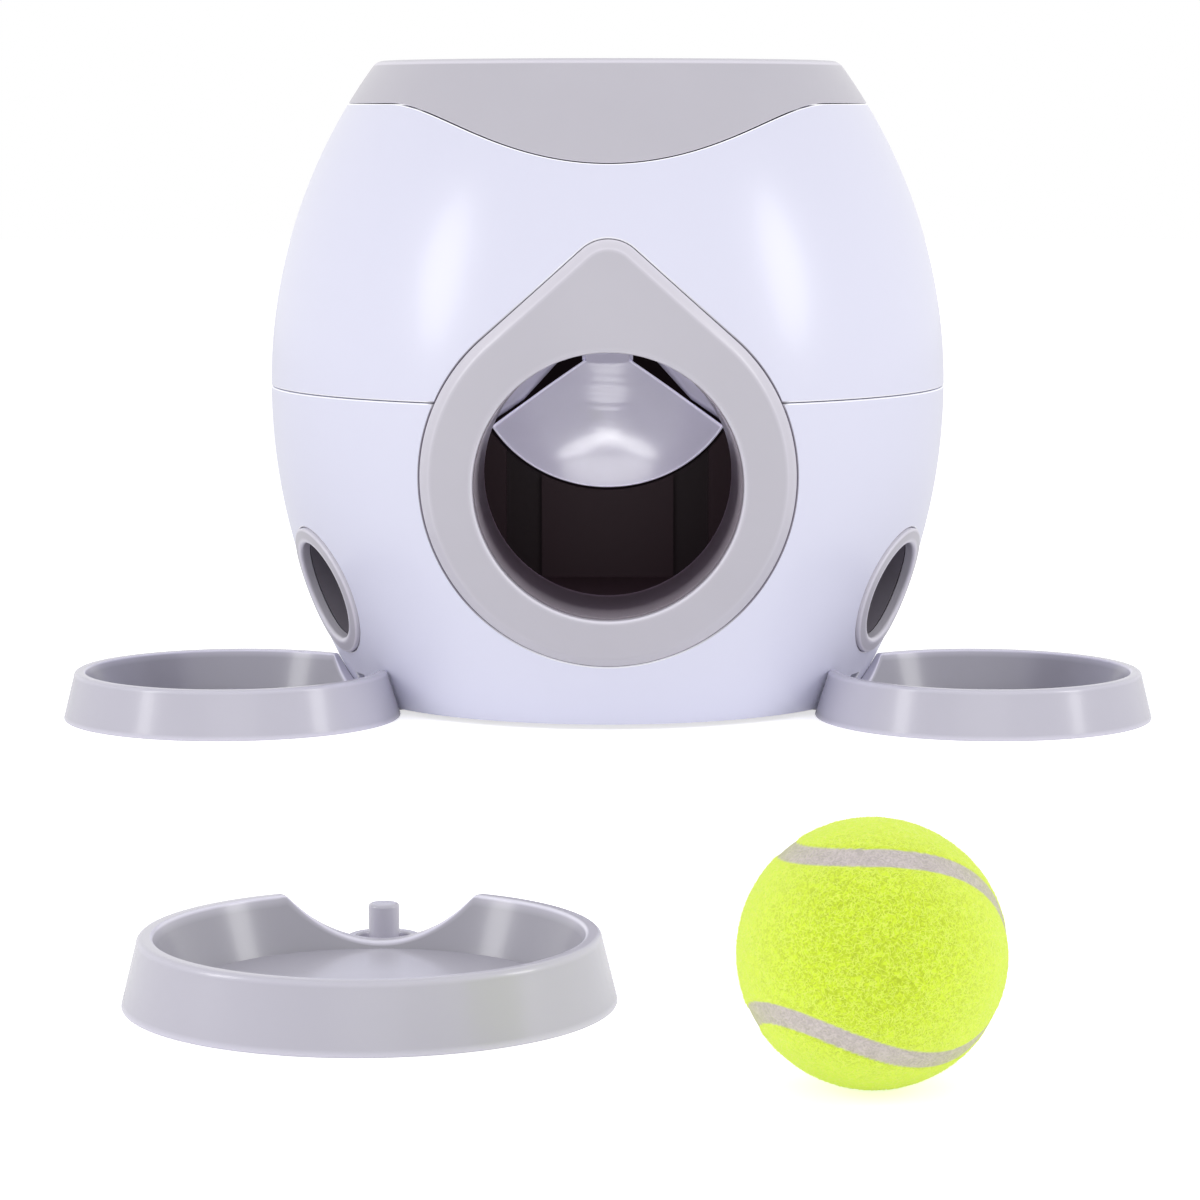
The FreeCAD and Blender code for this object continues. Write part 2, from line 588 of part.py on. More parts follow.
def rotor_shaft():
    shaft = cross_cylinder(SHAFT_RADIUS, -SHAFT_HALF_LENGTH, SHAFT_HALF_LENGTH)
    return shaft.makeChamfer(SHAFT_CHAMFER, [edge for edge in shaft.Edges if edge.Closed])


def housing_span():
    """Inner and outer ends of the +X drum housing."""
    start = CHAMBER_HALF_WIDTH + CHAMBER_WALL + MOULD_GAP
    inner = start + BUSH_LENGTH / 2 + HOUSING_END
    return start, inner, inner + DRUM_LENGTH + 2 * TURN_GAP + HOUSING_END


def dosing_drum():
    _, inner, _ = housing_span()
    start = inner + TURN_GAP
    drum = cross_cylinder(DRUM_RADIUS, start, start + DRUM_LENGTH)
    middle = start + DRUM_LENGTH / 2
    cuts = [cross_cylinder(SHAFT_RADIUS, start - PAST, start + DRUM_LENGTH + PAST)]
    for index in range(BLADE_COUNT):
        angle = 2 * math.pi * (index + 0.5) / BLADE_COUNT
        y = -ROTOR_FORWARD + DRUM_RADIUS * math.sin(angle)
        z = ROTOR_HEIGHT - DRUM_RADIUS * math.cos(angle)
        near, far = V(middle - POCKET_LENGTH / 2, y, z), V(middle + POCKET_LENGTH / 2, y, z)
        cuts.append(cylinder(POCKET_RADIUS, near, far))
    return drum.cut(cuts)


def drum_housing():
    start, inner, end = housing_span()
    half = DRUM_RADIUS + TURN_GAP + HOUSING_WALL
    block = box(start, end, -ROTOR_FORWARD - half, -ROTOR_FORWARD + half,
                ROTOR_HEIGHT - half, ROTOR_HEIGHT + half)
    room = cross_cylinder(DRUM_RADIUS + TURN_GAP, inner, end - HOUSING_END)
    shaft_way = cross_cylinder(SHAFT_RADIUS + TURN_GAP, start, end + PAST)
    bush_way = cross_cylinder(BUSH_RADIUS + MOULD_GAP, start - PAST, start + BUSH_LENGTH / 2 + MOULD_GAP)
    middle = (inner + end - HOUSING_END) / 2
    port = box(middle - PORT_LENGTH / 2, middle + PORT_LENGTH / 2, -ROTOR_FORWARD - PORT_HALF_WIDTH,
               -ROTOR_FORWARD + PORT_HALF_WIDTH, ROTOR_HEIGHT - half - PAST, ROTOR_HEIGHT + half + PAST)
    return block.cut([room, shaft_way, bush_way, port])


def rectangle(x0, x1, y0, y1, z):
    points = [V(x0, y0, z), V(x1, y0, z), V(x1, y1, z), V(x0, y1, z)]
    return Part.makePolygon(points + points[:1])


def treat_bin():
    start, _, end = housing_span()
    low = ROTOR_HEIGHT + DRUM_RADIUS + TURN_GAP + HOUSING_WALL
    half = DRUM_RADIUS
    outer = Part.makeLoft([
        rectangle(start + HOUSING_END, end - HOUSING_END, -ROTOR_FORWARD - half, -ROTOR_FORWARD + half, low),
        rectangle(start, BIN_OUTER_X, -BIN_HALF_DEPTH, BIN_HALF_DEPTH, BIN_TOP)], True, True)
    wall = BIN_WALL
    inner = Part.makeLoft([
        rectangle(start + HOUSING_END + wall, end - HOUSING_END - wall, -ROTOR_FORWARD - half + wall,
                  -ROTOR_FORWARD + half - wall, low - TOUCH),
        rectangle(start + wall, BIN_OUTER_X - wall, -BIN_HALF_DEPTH + wall, BIN_HALF_DEPTH - wall,
                  BIN_TOP + TOUCH)],
        True, True)
    return outer.cut(inner)


def treat_chute():
    """Elbow on the +X side: a straight tube behind the outlet and a drop tube from the drum housing."""
    _, inner, end = housing_span()
    housing_low = ROTOR_HEIGHT - DRUM_RADIUS - TURN_GAP - HOUSING_WALL
    top = V((inner + end - HOUSING_END) / 2, -ROTOR_FORWARD, housing_low)
    bend = Part.Vertex(outlet_point(CHUTE_STRAIGHT))
    bend.rotate(ORIGIN, UP, OUTLET_AZIMUTH)
    bend = bend.Point
    ceiling = box(0, BELLY_RADIUS, -BELLY_RADIUS, BELLY_RADIUS, top.z, BODY_TOP)
    above = top.add(top.sub(bend))

    def tubes(growth):
        straight = turned(outlet_cylinder(OUTLET_BORE_RADIUS + growth, CHUTE_STRAIGHT), OUTLET_AZIMUTH)
        drop = cylinder(CHUTE_DROP_RADIUS + growth, bend, above).cut(ceiling)
        return straight.fuse([Part.makeSphere(OUTLET_BORE_RADIUS + growth, bend), drop])

    chute = tubes(CHUTE_WALL).cut(tubes(0))
    return largest_solid(chute.common(barrel(-SHELL_WALL - MOULD_GAP, BODY_LOW, BODY_TOP - PAST)))


def side_bezel():
    """Ring flush round the treat outlet, on the +X side."""
    skin = barrel(OUTLET_PROUD, BODY_LOW, PARTING_HEIGHT).cut(barrel(-SHELL_WALL, 0, PARTING_HEIGHT + PAST))
    ring = outlet_cylinder(OUTLET_RING_RADIUS, CHUTE_STRAIGHT / 2)
    ring = ring.cut(outlet_cylinder(OUTLET_BORE_RADIUS, CHUTE_STRAIGHT))
    return largest_solid(turned(ring, OUTLET_AZIMUTH).common(skin))


def base_plate():
    top = BASE_LOW + BASE_THICKNESS
    plate = cylinder(body_radius(BASE_LOW, -SHELL_WALL) - MOULD_GAP, V(0, 0, BASE_LOW), V(0, 0, top))
    cuts = []
    for azimuth in (OUTLET_AZIMUTH, -OUTLET_AZIMUTH):
        peg_half = PEG_RADIUS + PEG_SLOT_GAP
        slot = box(-peg_half, peg_half, -BELLY_RADIUS, -PEG_DISTANCE, 0, top + PAST)
        end = cylinder(peg_half, V(0, -PEG_DISTANCE, 0), V(0, -PEG_DISTANCE, top + PAST))
        cuts.append(turned(slot.fuse(end), azimuth))
    for foot in [on_circle(BASE_BOSS_CIRCLE, a, 0) for a in BOSS_AZIMUTHS] + chamber_legs():
        cuts.append(screw_hole(V(foot.x, foot.y, BASE_LOW), BASE_THICKNESS))
    return largest_solid(plate.cut(cuts))


def base_feet():
    feet = []
    for azimuth in FOOT_AZIMUTHS:
        foot = on_circle(FOOT_CIRCLE, azimuth, 0)
        pad = cylinder(FOOT_RADIUS, foot, foot.add(V(0, 0, BASE_LOW)))
        sole = [edge for edge in pad.Edges if edge.Closed and edge.BoundBox.ZMax < TOUCH]
        feet.append(pad.makeChamfer(FOOT_CHAMFER, sole))
    return Part.Compound(feet)


def base_screws():
    feet = [on_circle(BASE_BOSS_CIRCLE, azimuth, BASE_LOW) for azimuth in BOSS_AZIMUTHS]
    return Part.Compound([screw(foot, BASE_SCREW_LENGTH) for foot in feet])


def chamber_screws():
    return Part.Compound([screw(V(foot.x, foot.y, BASE_LOW), LEG_SCREW_LENGTH) for foot in chamber_legs()])


def shell_screws():
    low = PARTING_HEIGHT - MOULD_GAP / 2 - SHELL_BOSS_LENGTH
    feet = [on_circle(SHELL_BOSS_CIRCLE, azimuth, low) for azimuth in SHELL_SCREW_AZIMUTHS]
    return Part.Compound([screw(foot, SHELL_SCREW_LENGTH) for foot in feet])


def rib(radius, half_angle):
    """Curved rib on a tray's floor, bulging away from the body, with round ends."""
    centre = V(0, -RIB_CENTRE, TRAY_FLOOR)
    top = TRAY_FLOOR + RIB_HEIGHT
    outer = cylinder(radius + RIB_WIDTH / 2, centre, V(0, -RIB_CENTRE, top))
    ring = outer.cut(cylinder(radius - RIB_WIDTH / 2, centre.sub(UP), V(0, -RIB_CENTRE, top + PAST)))
    tip_x = radius * math.sin(math.radians(half_angle))
    tip_y = -RIB_CENTRE - radius * math.cos(math.radians(half_angle))
    to_tip = V(tip_x, tip_y + RIB_CENTRE, 0)
    corners = [centre, centre.add(V(-2 * to_tip.x, 2 * to_tip.y, 0)), centre.sub(V(0, 4 * radius, 0)),
               centre.add(V(2 * to_tip.x, 2 * to_tip.y, 0))]
    wedge = Part.Face(Part.makePolygon(corners + corners[:1])).extrude(V(0, 0, RIB_HEIGHT))
    ends = [cylinder(RIB_WIDTH / 2, V(x, tip_y, TRAY_FLOOR), V(x, tip_y, top)) for x in (-tip_x, tip_x)]
    return ring.common(wedge).fuse(ends)


def tray():
    """Tray at the front of the body, cut to the barrel's surface."""
    centre = V(0, -TRAY_DISTANCE, 0)
    outer = Part.makeCone(TRAY_BOTTOM_RADIUS, TRAY_TOP_RADIUS, TRAY_HEIGHT, centre)
    cavity = Part.makeCone(TRAY_FLOOR_RADIUS, TRAY_INNER_TOP_RADIUS, TRAY_HEIGHT - TRAY_FLOOR,
                           centre.add(V(0, 0, TRAY_FLOOR)))
    dish = outer.cut(cavity)
    rims = [edge for edge in dish.Edges if edge.Closed and edge.BoundBox.ZMin > TRAY_HEIGHT - TOUCH]
    dish = dish.makeFillet(TRAY_RIM_ROUNDING, rims)
    rise = TRAY_HEIGHT - LIP_HEIGHT
    scoop_radius = (HORN_HALF_SPREAD ** 2 + rise ** 2) / (2 * rise)
    scoop_height = LIP_HEIGHT + scoop_radius
    near = V(0, -PEG_DISTANCE, scoop_height)
    far = V(0, -TRAY_DISTANCE + TRAY_FLOOR_RADIUS - SCOOP_REACH, scoop_height)
    dish = dish.cut([cylinder(scoop_radius, near, far), barrel(TRAY_BODY_GAP, -PAST, TRAY_HEIGHT + PAST)])
    dish = largest_solid(dish)
    tip = V(0, -PEG_DISTANCE, 0)
    tongue = box(-TONGUE_HALF_WIDTH, TONGUE_HALF_WIDTH, -TRAY_NOTCH_DISTANCE - TONGUE_BORDER, -PEG_DISTANCE,
                 0, TONGUE_HEIGHT)
    tongue = tongue.fuse(cylinder(TONGUE_HALF_WIDTH, tip, tip.add(V(0, 0, TONGUE_HEIGHT))))
    inner = TONGUE_HALF_WIDTH - TONGUE_BORDER
    recess_top = TONGUE_HEIGHT + PAST
    recess = box(-inner, inner, -TRAY_NOTCH_DISTANCE, -PEG_DISTANCE, TONGUE_FLOOR, recess_top)
    recess = recess.fuse(cylinder(inner, tip.add(V(0, 0, TONGUE_FLOOR)), tip.add(V(0, 0, recess_top))))
    hole = cylinder(PEG_RADIUS, tip.sub(UP), tip.add(V(0, 0, TONGUE_HEIGHT)))
    return dish.fuse([tongue.cut([recess, hole])] + [rib(*size) for size in RIBS]).removeSplitter()


def tray_peg():
    tip = V(0, -PEG_DISTANCE, 0)
    peg = cylinder(PEG_RADIUS, tip, tip.add(V(0, 0, PEG_HEIGHT)))
    top = [edge for edge in peg.Edges if edge.Closed and edge.BoundBox.ZMin > PEG_HEIGHT / 2]
    return peg.makeChamfer(PEG_CHAMFER, top)


def loose(shape):
    """Copy of a tray piece, moved to where the unplugged tray lies."""
    copy = shape.copy()
    copy.translate(V(LOOSE_TRAY_X, LOOSE_TRAY_Y + TRAY_DISTANCE, 0))
    return copy


def ball_shell(outer, thickness):
    centre = V(BALL_X, BALL_Y, BALL_RADIUS)
    return Part.makeSphere(outer, centre).cut(Part.makeSphere(outer - thickness, centre))


def write(name, shape):
    if not shape.isValid():
        print("not valid:", name)
    print(f"{name:22s} solids {len(shape.Solids):2d}  volume {shape.Volume / 1000:9.2f} cm3")
    shape.exportStep(f"parts/{name}.step")


def both_sides(name, shape):
    """Writes a piece made on the +X side and its mirror copy."""
    write(f"{name}_right", shape)
    write(f"{name}_left", mirrored(shape))


def main():
    os.makedirs("parts", exist_ok=True)
    for piece in (lower_shell, upper_shell, top_collar, funnel_bowl, front_bezel, outlet_sleeve, ball_chamber,
                  ball_ramp, rotor_hub, rotor_shaft, shaft_clips, base_plate, base_feet, base_screws,
                  chamber_screws, shell_screws):
        write(piece.__name__, piece())
    for index in range(BLADE_COUNT):
        write(f"rotor_blade_{index + 1}", rotor_blade(360.0 * index / BLADE_COUNT))
    for piece in (cheek, shaft_bush, dosing_drum, drum_housing, treat_bin, treat_chute, side_bezel):
        both_sides(piece.__name__, piece())
    tray_body, peg = tray(), tray_peg()
    for name, azimuth in (("right", OUTLET_AZIMUTH), ("left", -OUTLET_AZIMUTH)):
        write(f"tray_{name}", turned(tray_body, azimuth))
        write(f"tray_{name}_peg", turned(peg, azimuth))
    write("tray_loose", loose(tray_body))
    write("tray_loose_peg", loose(peg))
    write("ball_felt", ball_shell(BALL_RADIUS, FELT_THICKNESS))
    write("ball_core", ball_shell(BALL_RADIUS - FELT_THICKNESS, CORE_WALL))


main()
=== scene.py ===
"""Ball drop fetch machine: casings, bezels, blades, trays and ball, dressed round the machine's frame.

Formulas work in millimetres in the frame's axes: +Z up, the ball exit faces -Y. An azimuth is an
angle about the barrel's axis, 0 at the front and positive towards +X.
"""

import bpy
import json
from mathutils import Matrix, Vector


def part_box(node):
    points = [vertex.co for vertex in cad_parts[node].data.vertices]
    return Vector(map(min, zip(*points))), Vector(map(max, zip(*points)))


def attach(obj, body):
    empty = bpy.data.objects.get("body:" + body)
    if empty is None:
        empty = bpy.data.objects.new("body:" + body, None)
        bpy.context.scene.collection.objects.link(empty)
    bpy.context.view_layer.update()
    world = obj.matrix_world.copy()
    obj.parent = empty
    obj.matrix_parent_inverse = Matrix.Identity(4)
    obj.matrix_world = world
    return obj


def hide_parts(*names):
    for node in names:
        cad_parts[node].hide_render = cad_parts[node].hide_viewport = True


bl_info = {
    "name": "Ball drop fetch machine",
    "version": (1, 0, 0),
    "blender": (4, 5, 0),
    "location": "3D View > Sidebar > Fetch machine",
    "description": "Builds the skins, finishes and stage of a gravity fetch machine with treat trays",
    "category": "Object",
}

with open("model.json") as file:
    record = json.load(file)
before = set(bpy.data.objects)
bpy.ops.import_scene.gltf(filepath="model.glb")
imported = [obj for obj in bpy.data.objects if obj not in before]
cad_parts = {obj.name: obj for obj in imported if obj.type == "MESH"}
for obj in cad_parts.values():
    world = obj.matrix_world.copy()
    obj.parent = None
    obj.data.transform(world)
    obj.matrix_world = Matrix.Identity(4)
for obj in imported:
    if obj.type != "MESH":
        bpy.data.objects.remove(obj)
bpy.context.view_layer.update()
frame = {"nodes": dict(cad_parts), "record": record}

import json
import math

import bmesh
import bpy
import numpy as np
from mathutils import Quaternion, Vector

MM = 0.001


def edge_of(node, side, axis):
    """A node's lowest (side 0) or highest (side 1) coordinate along an axis, in millimetres."""
    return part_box(node)[side][axis] / MM


# Barrel body
BODY_LOW = edge_of("lower_shell", 0, 2)
BODY_TOP = edge_of("top_collar", 1, 2)
SEAM_LOW = edge_of("lower_shell", 1, 2)
SEAM_HIGH = edge_of("upper_shell", 0, 2)
PARTING_HEIGHT = (SEAM_LOW + SEAM_HIGH) / 2
MOULD_GAP = SEAM_HIGH - SEAM_LOW
SEEN_GAP = 0.2                # between a casing and the collar
BEZEL_GAP = 0.35              # between the casings and the exit bezel
BELLY_RADIUS = 133.0
TOP_RADIUS = 90.6
BASE_RADIUS = 97.3
SHELL_WALL = 3.0
CASING_ROUNDING = 0.5
# second material: painted highlight and glow on the rounded edges, painted shadow on those beside the exit
# bezel; third: painted gap shadow on the cut faces beside the bezel
EDGE_SLOT, GAP_SHADOW_SLOT = 1, 2    # the casings' second and third material

# Collar and bowl
COLLAR_WALL = 2.7
COLLAR_DIP_HEIGHT = BODY_TOP - 38.5
COLLAR_SIDE_HEIGHT = BODY_TOP - 16.5
COLLAR_DIP_HALF_ANGLE = math.radians(55.0)
RIM_ROUNDING = 5.0
RIM_PLATE = 3.0
RIM_OPENING_RADIUS = 80.0
LEDGE_WIDTH = 6.0
LEDGE_THICKNESS = 2.5
FUNNEL_FLANGE = 4.4
FUNNEL_WALL = 2.2
THROAT_RADIUS = 35.5
THROAT_SHIFT = 35.0
THROAT_TOP = BODY_TOP - 45.0
THROAT_LOW = THROAT_TOP - 7.5

# Ball exit
EXIT_RADIUS = 50.0
EXIT_HEIGHT = 94.0
DROP_RADIUS = edge_of("front_bezel", 1, 0)
DROP_HEIGHT = 96.0
DROP_TIP_RADIUS = 14.5
DROP_TIP_HEIGHT = 170.5
BEZEL_PROUD = 1.6
BEZEL_BEVEL = 3.4
SLEEVE_END_DEPTH = 60.0
SLEEVE_PALE_DEPTH = 38.0

# Slots in the ramp's riser
SLOT_INNER = 26.0
SLOT_OUTER = 40.0
RISER_FACE = -12.0

# Treat outlets
OUTLET_AZIMUTH = math.radians(67.0)
OUTLET_HEIGHT = 46.7
OUTLET_BORE = 19.7
OUTLET_RING = 25.8
OUTLET_PROUD = 1.2
WINDOW_HALF_ANGLE = math.radians(20.0)
DOORWAY_LOW = (11.4, 4.4)     # half width and top of the doorway's wide part
DOORWAY_HIGH = (4.8, 13.5)    # of its narrow part, for the peg

# Rotor
ROTOR_FORWARD = 5.0
ROTOR_HEIGHT = (edge_of("rotor_shaft", 0, 2) + edge_of("rotor_shaft", 1, 2)) / 2
BLADE_COUNT = 3
BLADE_RADIUS = 56.2
BLADE_HALF_ANGLE = math.radians(55.0)
BLADE_THICKNESS = 1.6
BLADE_DISH_RADIUS = 95.0
BLADE_DISH_CENTRE = 30.0
HUB_RADIUS = 6.5
EDGE_GLOW = 0.6
SKIRT_FRONT = -3.9
SKIRT_SLOPE = 0.27
RIPPLE_DEPTH = 0.03
RIPPLE_PITCH = 3.4
RIPPLE_PLACE = 20.0
RIPPLE_REACH = 8.0
RIPPLE_LEAN = 0.08
CHEEK_START = 13.2
CHEEK_KNEE = 33.0
CHEEK_CLEARANCE = 1.4
CHEEK_BORE = 5.0
CHEEK_SEAT_RADIUS = 8.35
CHEEK_SEAT_DEPTH = 1.85
CHEEK_END = edge_of("cheek_right", 1, 0)

# Trays, made at the front and turned or moved into place
TRAY_DISTANCE = 157.0
TRAY_BOTTOM_RADIUS = 64.7
TRAY_TOP_RADIUS = 60.2
TRAY_HEIGHT = edge_of("tray_loose", 1, 2)
TRAY_FLOOR_RADIUS = 50.5
TRAY_INNER_TOP_RADIUS = 56.6
TRAY_FLOOR = 2.4
TRAY_BODY_GAP = 0.3
LIP_HEIGHT = 5.0
HORN_HALF_SPREAD = 26.0
HORN_ROUNDING = 1.6
TONGUE_HALF_WIDTH = 10.5
TONGUE_BORDER = 3.2
TONGUE_HEIGHT = 3.5
TONGUE_FLOOR = 1.5
PEG_DISTANCE = 88.5
PEG_RADIUS = 4.3
PEG_HEIGHT = edge_of("tray_loose_peg", 1, 2)
RIB_CENTRE = 97.5
RIB_HALF_WIDTH = 1.5
RIB_HEIGHT = 1.2
RIBS = ((58.0, math.radians(40.0)), (90.0, math.radians(30.0)))
LOOSE_TRAY_X = (edge_of("tray_loose", 0, 0) + edge_of("tray_loose", 1, 0)) / 2
LOOSE_TRAY_Y = edge_of("tray_loose", 0, 1) + TRAY_BOTTOM_RADIUS

# Ball
BALL_LOW, BALL_HIGH = (np.array(corner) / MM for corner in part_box("ball_felt"))
BALL_CENTRE = (BALL_LOW + BALL_HIGH) / 2
BALL_RADIUS = (BALL_HIGH - BALL_LOW)[2] / 2
SEAM_SWING = 0.795            # how far the seam's two lobes reach round the ball
SEAM_TURN = tuple(math.radians(angle) for angle in (65.8, -46.3, -39.4))
SEAM_DEPTH = 0.2
LUMP_HEIGHT = 0.05
LUMP_WAVES = ((41, 23, -31), (-29, 47, 19), (17, -37, 53), (61, 31, 43))
FIBRE_LENGTH = (0.9, 2.2)
FIBRE_CURL = 0.9

# Camera
CAMERA_PLACE = (-3.0, -1596.5, 229.1)
CAMERA_PITCH = math.radians(6.84)
CAMERA_LENS = 120.7
SENSOR_WIDTH = 36.0
CAMERA_REACH = 20.0           # metres

WELD = 1e-6


# ---------------------------------------------------------------- mesh kit

def linked(name, data):
    """New object in the scene, with its mesh, lamp or camera."""
    holder = bpy.data.objects.new(name, data)
    bpy.context.scene.collection.objects.link(holder)
    return holder


class Patchwork:
    """Grids of points in millimetres, welded into one mesh."""

    def __init__(self):
        self.points, self.faces, self.masks, self.total = [], [], [], 0

    def grid(self, points, wrap=False, flip=False, mask=0.0):
        """Adds rows x columns of points; each cell is a quad, and wrap joins the last column to the first.

        The mask, a value for each point, is stored under the name edge. It says where light or shade is
        painted: up to 1 on the rims that catch most light, which get a painted highlight or glow, and beside
        the exit bezel on rims that get a painted gap shadow; 0 on plain faces; below 0 on shaded faces,
        which get painted shade.
        """
        rows, columns = points.shape[:2]
        self.masks.append(np.broadcast_to(mask, (rows, columns)).ravel())
        ids = self.total + np.arange(rows * columns).reshape(rows, columns)
        left = ids if wrap else ids[:, :-1]
        right = np.roll(ids, -1, axis=1) if wrap else ids[:, 1:]
        cells = np.stack([left[:-1], right[:-1], right[1:], left[1:]], axis=-1).reshape(-1, 4)
        self.faces.append(cells[:, ::-1] if flip else cells)
        self.points.append(points.reshape(-1, 3))
        self.total += rows * columns
        return self

    def build(self, name, closed=True):
        """Makes the object; a closed surface also gets its faces turned outwards."""
        points, faces = np.concatenate(self.points) * MM, np.concatenate(self.faces)
        mesh = bpy.data.meshes.new(name)
        mesh.vertices.add(len(points))
        mesh.vertices.foreach_set("co", points.ravel())
        mesh.loops.add(faces.size)
        mesh.loops.foreach_set("vertex_index", faces.ravel())
        mesh.polygons.add(len(faces))
        mesh.polygons.foreach_set("loop_start", np.arange(len(faces)) * 4)
        mesh.update(calc_edges=True)
        mesh.validate()
        edge = np.concatenate(self.masks).astype(np.float32)
        mesh.attributes.new("edge", "FLOAT", "POINT").data.foreach_set("value", edge)
        weld = bmesh.new()
        weld.from_mesh(mesh)
        bmesh.ops.remove_doubles(weld, verts=weld.verts, dist=WELD)
        if closed:
            bmesh.ops.recalc_face_normals(weld, faces=weld.faces)
        weld.to_mesh(mesh)
        weld.free()
        mesh.polygons.foreach_set("use_smooth", np.ones(len(mesh.polygons), bool))
        return linked(name, mesh)


def thicken(piece, wall, rim_slot=0):
    """Gives an open skin its wall, inwards; the wall's narrow faces take the material of a slot."""
    modifier = piece.modifiers.new("Wall", "SOLIDIFY")
    modifier.thickness = wall * MM
    modifier.offset = -1.0
    modifier.use_even_offset = True
    modifier.use_quality_normals = True
    modifier.material_offset_rim = rim_slot


def round_edges(piece, radius, angle=40.0, segments=3, slot=-1):
    """Rounds every edge sharper than an angle, and keeps the faces beside it evenly shaded.

    The new faces take the material of a slot, or with -1 that of their neighbours.
    """
    modifier = piece.modifiers.new("Rounded edges", "BEVEL")
    modifier.width = radius * MM
    modifier.segments = segments
    modifier.limit_method = "ANGLE"
    modifier.angle_limit = math.radians(angle)
    modifier.harden_normals = True
    modifier.miter_outer = "MITER_ARC"
    modifier.material = slot


def even_shading(piece, angle):
    """Keeps edges past an angle sharp, and lets large faces set the shading beside small roundings."""
    piece.data.set_sharp_from_angle(angle=math.radians(angle))
    modifier = piece.modifiers.new("Even shading", "WEIGHTED_NORMAL")
    modifier.keep_sharp = True
    return piece


def place(piece, body, slot, material, *nodes):
    """Finishes a piece and lets it ride on a body in place of the frame's nodes."""
    piece.data.materials.append(material)
    if nodes:
        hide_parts(*nodes)
    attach(piece, body)
    return piece


def stack(x, y, z):
    """Points from coordinates that are numbers or grids of fitting shapes."""
    return np.stack(np.broadcast_arrays(x, y, z), axis=-1).astype(float)


def stack2(azimuth, z):
    """Places on the barrel as (azimuth, height) pairs."""
    return np.stack(np.broadcast_arrays(azimuth, z), axis=-1).astype(float)


def turned(points, azimuth):
    """Points made at the front, turned about the barrel's axis."""
    x, y, z = np.moveaxis(points, -1, 0)
    cos, sin = math.cos(azimuth), math.sin(azimuth)
    return stack(x * cos - y * sin, x * sin + y * cos, z)


def moved(points, x, y, z):
    """Points shifted by a step."""
    return points + np.array((x, y, z), float)


def resampled(curve, count):
    """Points spread evenly along a polyline."""
    steps = np.linalg.norm(np.diff(curve, axis=0), axis=1)
    length = np.concatenate([[0.0], np.cumsum(steps)])
    where = np.linspace(0.0, length[-1], count)
    return np.stack([np.interp(where, length, curve[:, i]) for i in range(curve.shape[1])], axis=1)


def polyline(corners, counts):
    """Straight runs between corners, each cut into its own number of steps, without repeating a corner."""
    runs = [np.linspace(a, b, n, endpoint=False) for a, b, n in zip(corners, corners[1:], counts)]
    return np.concatenate(runs + [np.array(corners[-1:], float)])


def ruled(inner, outer, rows):
    """Straight lines from each point of one curve to the same point of another."""
    share = np.linspace(0.0, 1.0, rows)[:, None, None]
    return inner[None] * (1 - share) + outer[None] * share


def lathe(profile, columns, axis="z"):
    """Profile of (radius, height) points carried round the Z axis, or (radius, x) points round the X axis."""
    angle = np.linspace(0.0, 2 * math.pi, columns, endpoint=False)[None, :]
    radius, height = (np.array(values, float)[:, None] for values in zip(*profile))
    if axis == "z":
        return stack(radius * np.cos(angle), radius * np.sin(angle), height)
    return stack(height, radius * np.cos(angle), radius * np.sin(angle))


def soft_min(a, b, reach):
    """The smaller of two lengths, rounded off where they differ by less than reach."""
    mix = np.clip(0.5 + (b - a) / (2 * reach), 0.0, 1.0)
    return b * (1 - mix) + a * mix - reach * mix * (1 - mix)


# ---------------------------------------------------------------- barrel shapes

def profile_radius(rise, change):
    """Radius of the arc that starts upright and moves in by change over a rise."""
    return (rise ** 2 + change ** 2) / (2 * change)


UPPER_ARC = profile_radius(BODY_TOP - PARTING_HEIGHT, BELLY_RADIUS - TOP_RADIUS)
LOWER_ARC = profile_radius(PARTING_HEIGHT, BELLY_RADIUS - BASE_RADIUS)


def body_radius(z, out=0.0):
    """Barrel's radius at a height: an arc that is upright at the parting line, moved outwards by out."""
    arc = np.where(z > PARTING_HEIGHT, UPPER_ARC, LOWER_ARC)
    return BELLY_RADIUS - arc + np.sqrt((arc + out) ** 2 - (z - PARTING_HEIGHT) ** 2)


def on_barrel(azimuth, z, out=0.0):
    """Point on the barrel at an azimuth and a height."""
    radius = body_radius(z, out)
    return stack(radius * np.sin(azimuth), -radius * np.cos(azimuth), z)


def collar_edge(azimuth):
    """Height of the collar's lower edge: level at the sides, a cosine dip at the front and the back."""
    from_dip = np.abs((azimuth + math.pi / 2) % math.pi - math.pi / 2)
    share = np.minimum(from_dip / COLLAR_DIP_HALF_ANGLE, 1.0)
    return COLLAR_DIP_HEIGHT + (COLLAR_SIDE_HEIGHT - COLLAR_DIP_HEIGHT) * (1 - np.cos(math.pi * share)) / 2


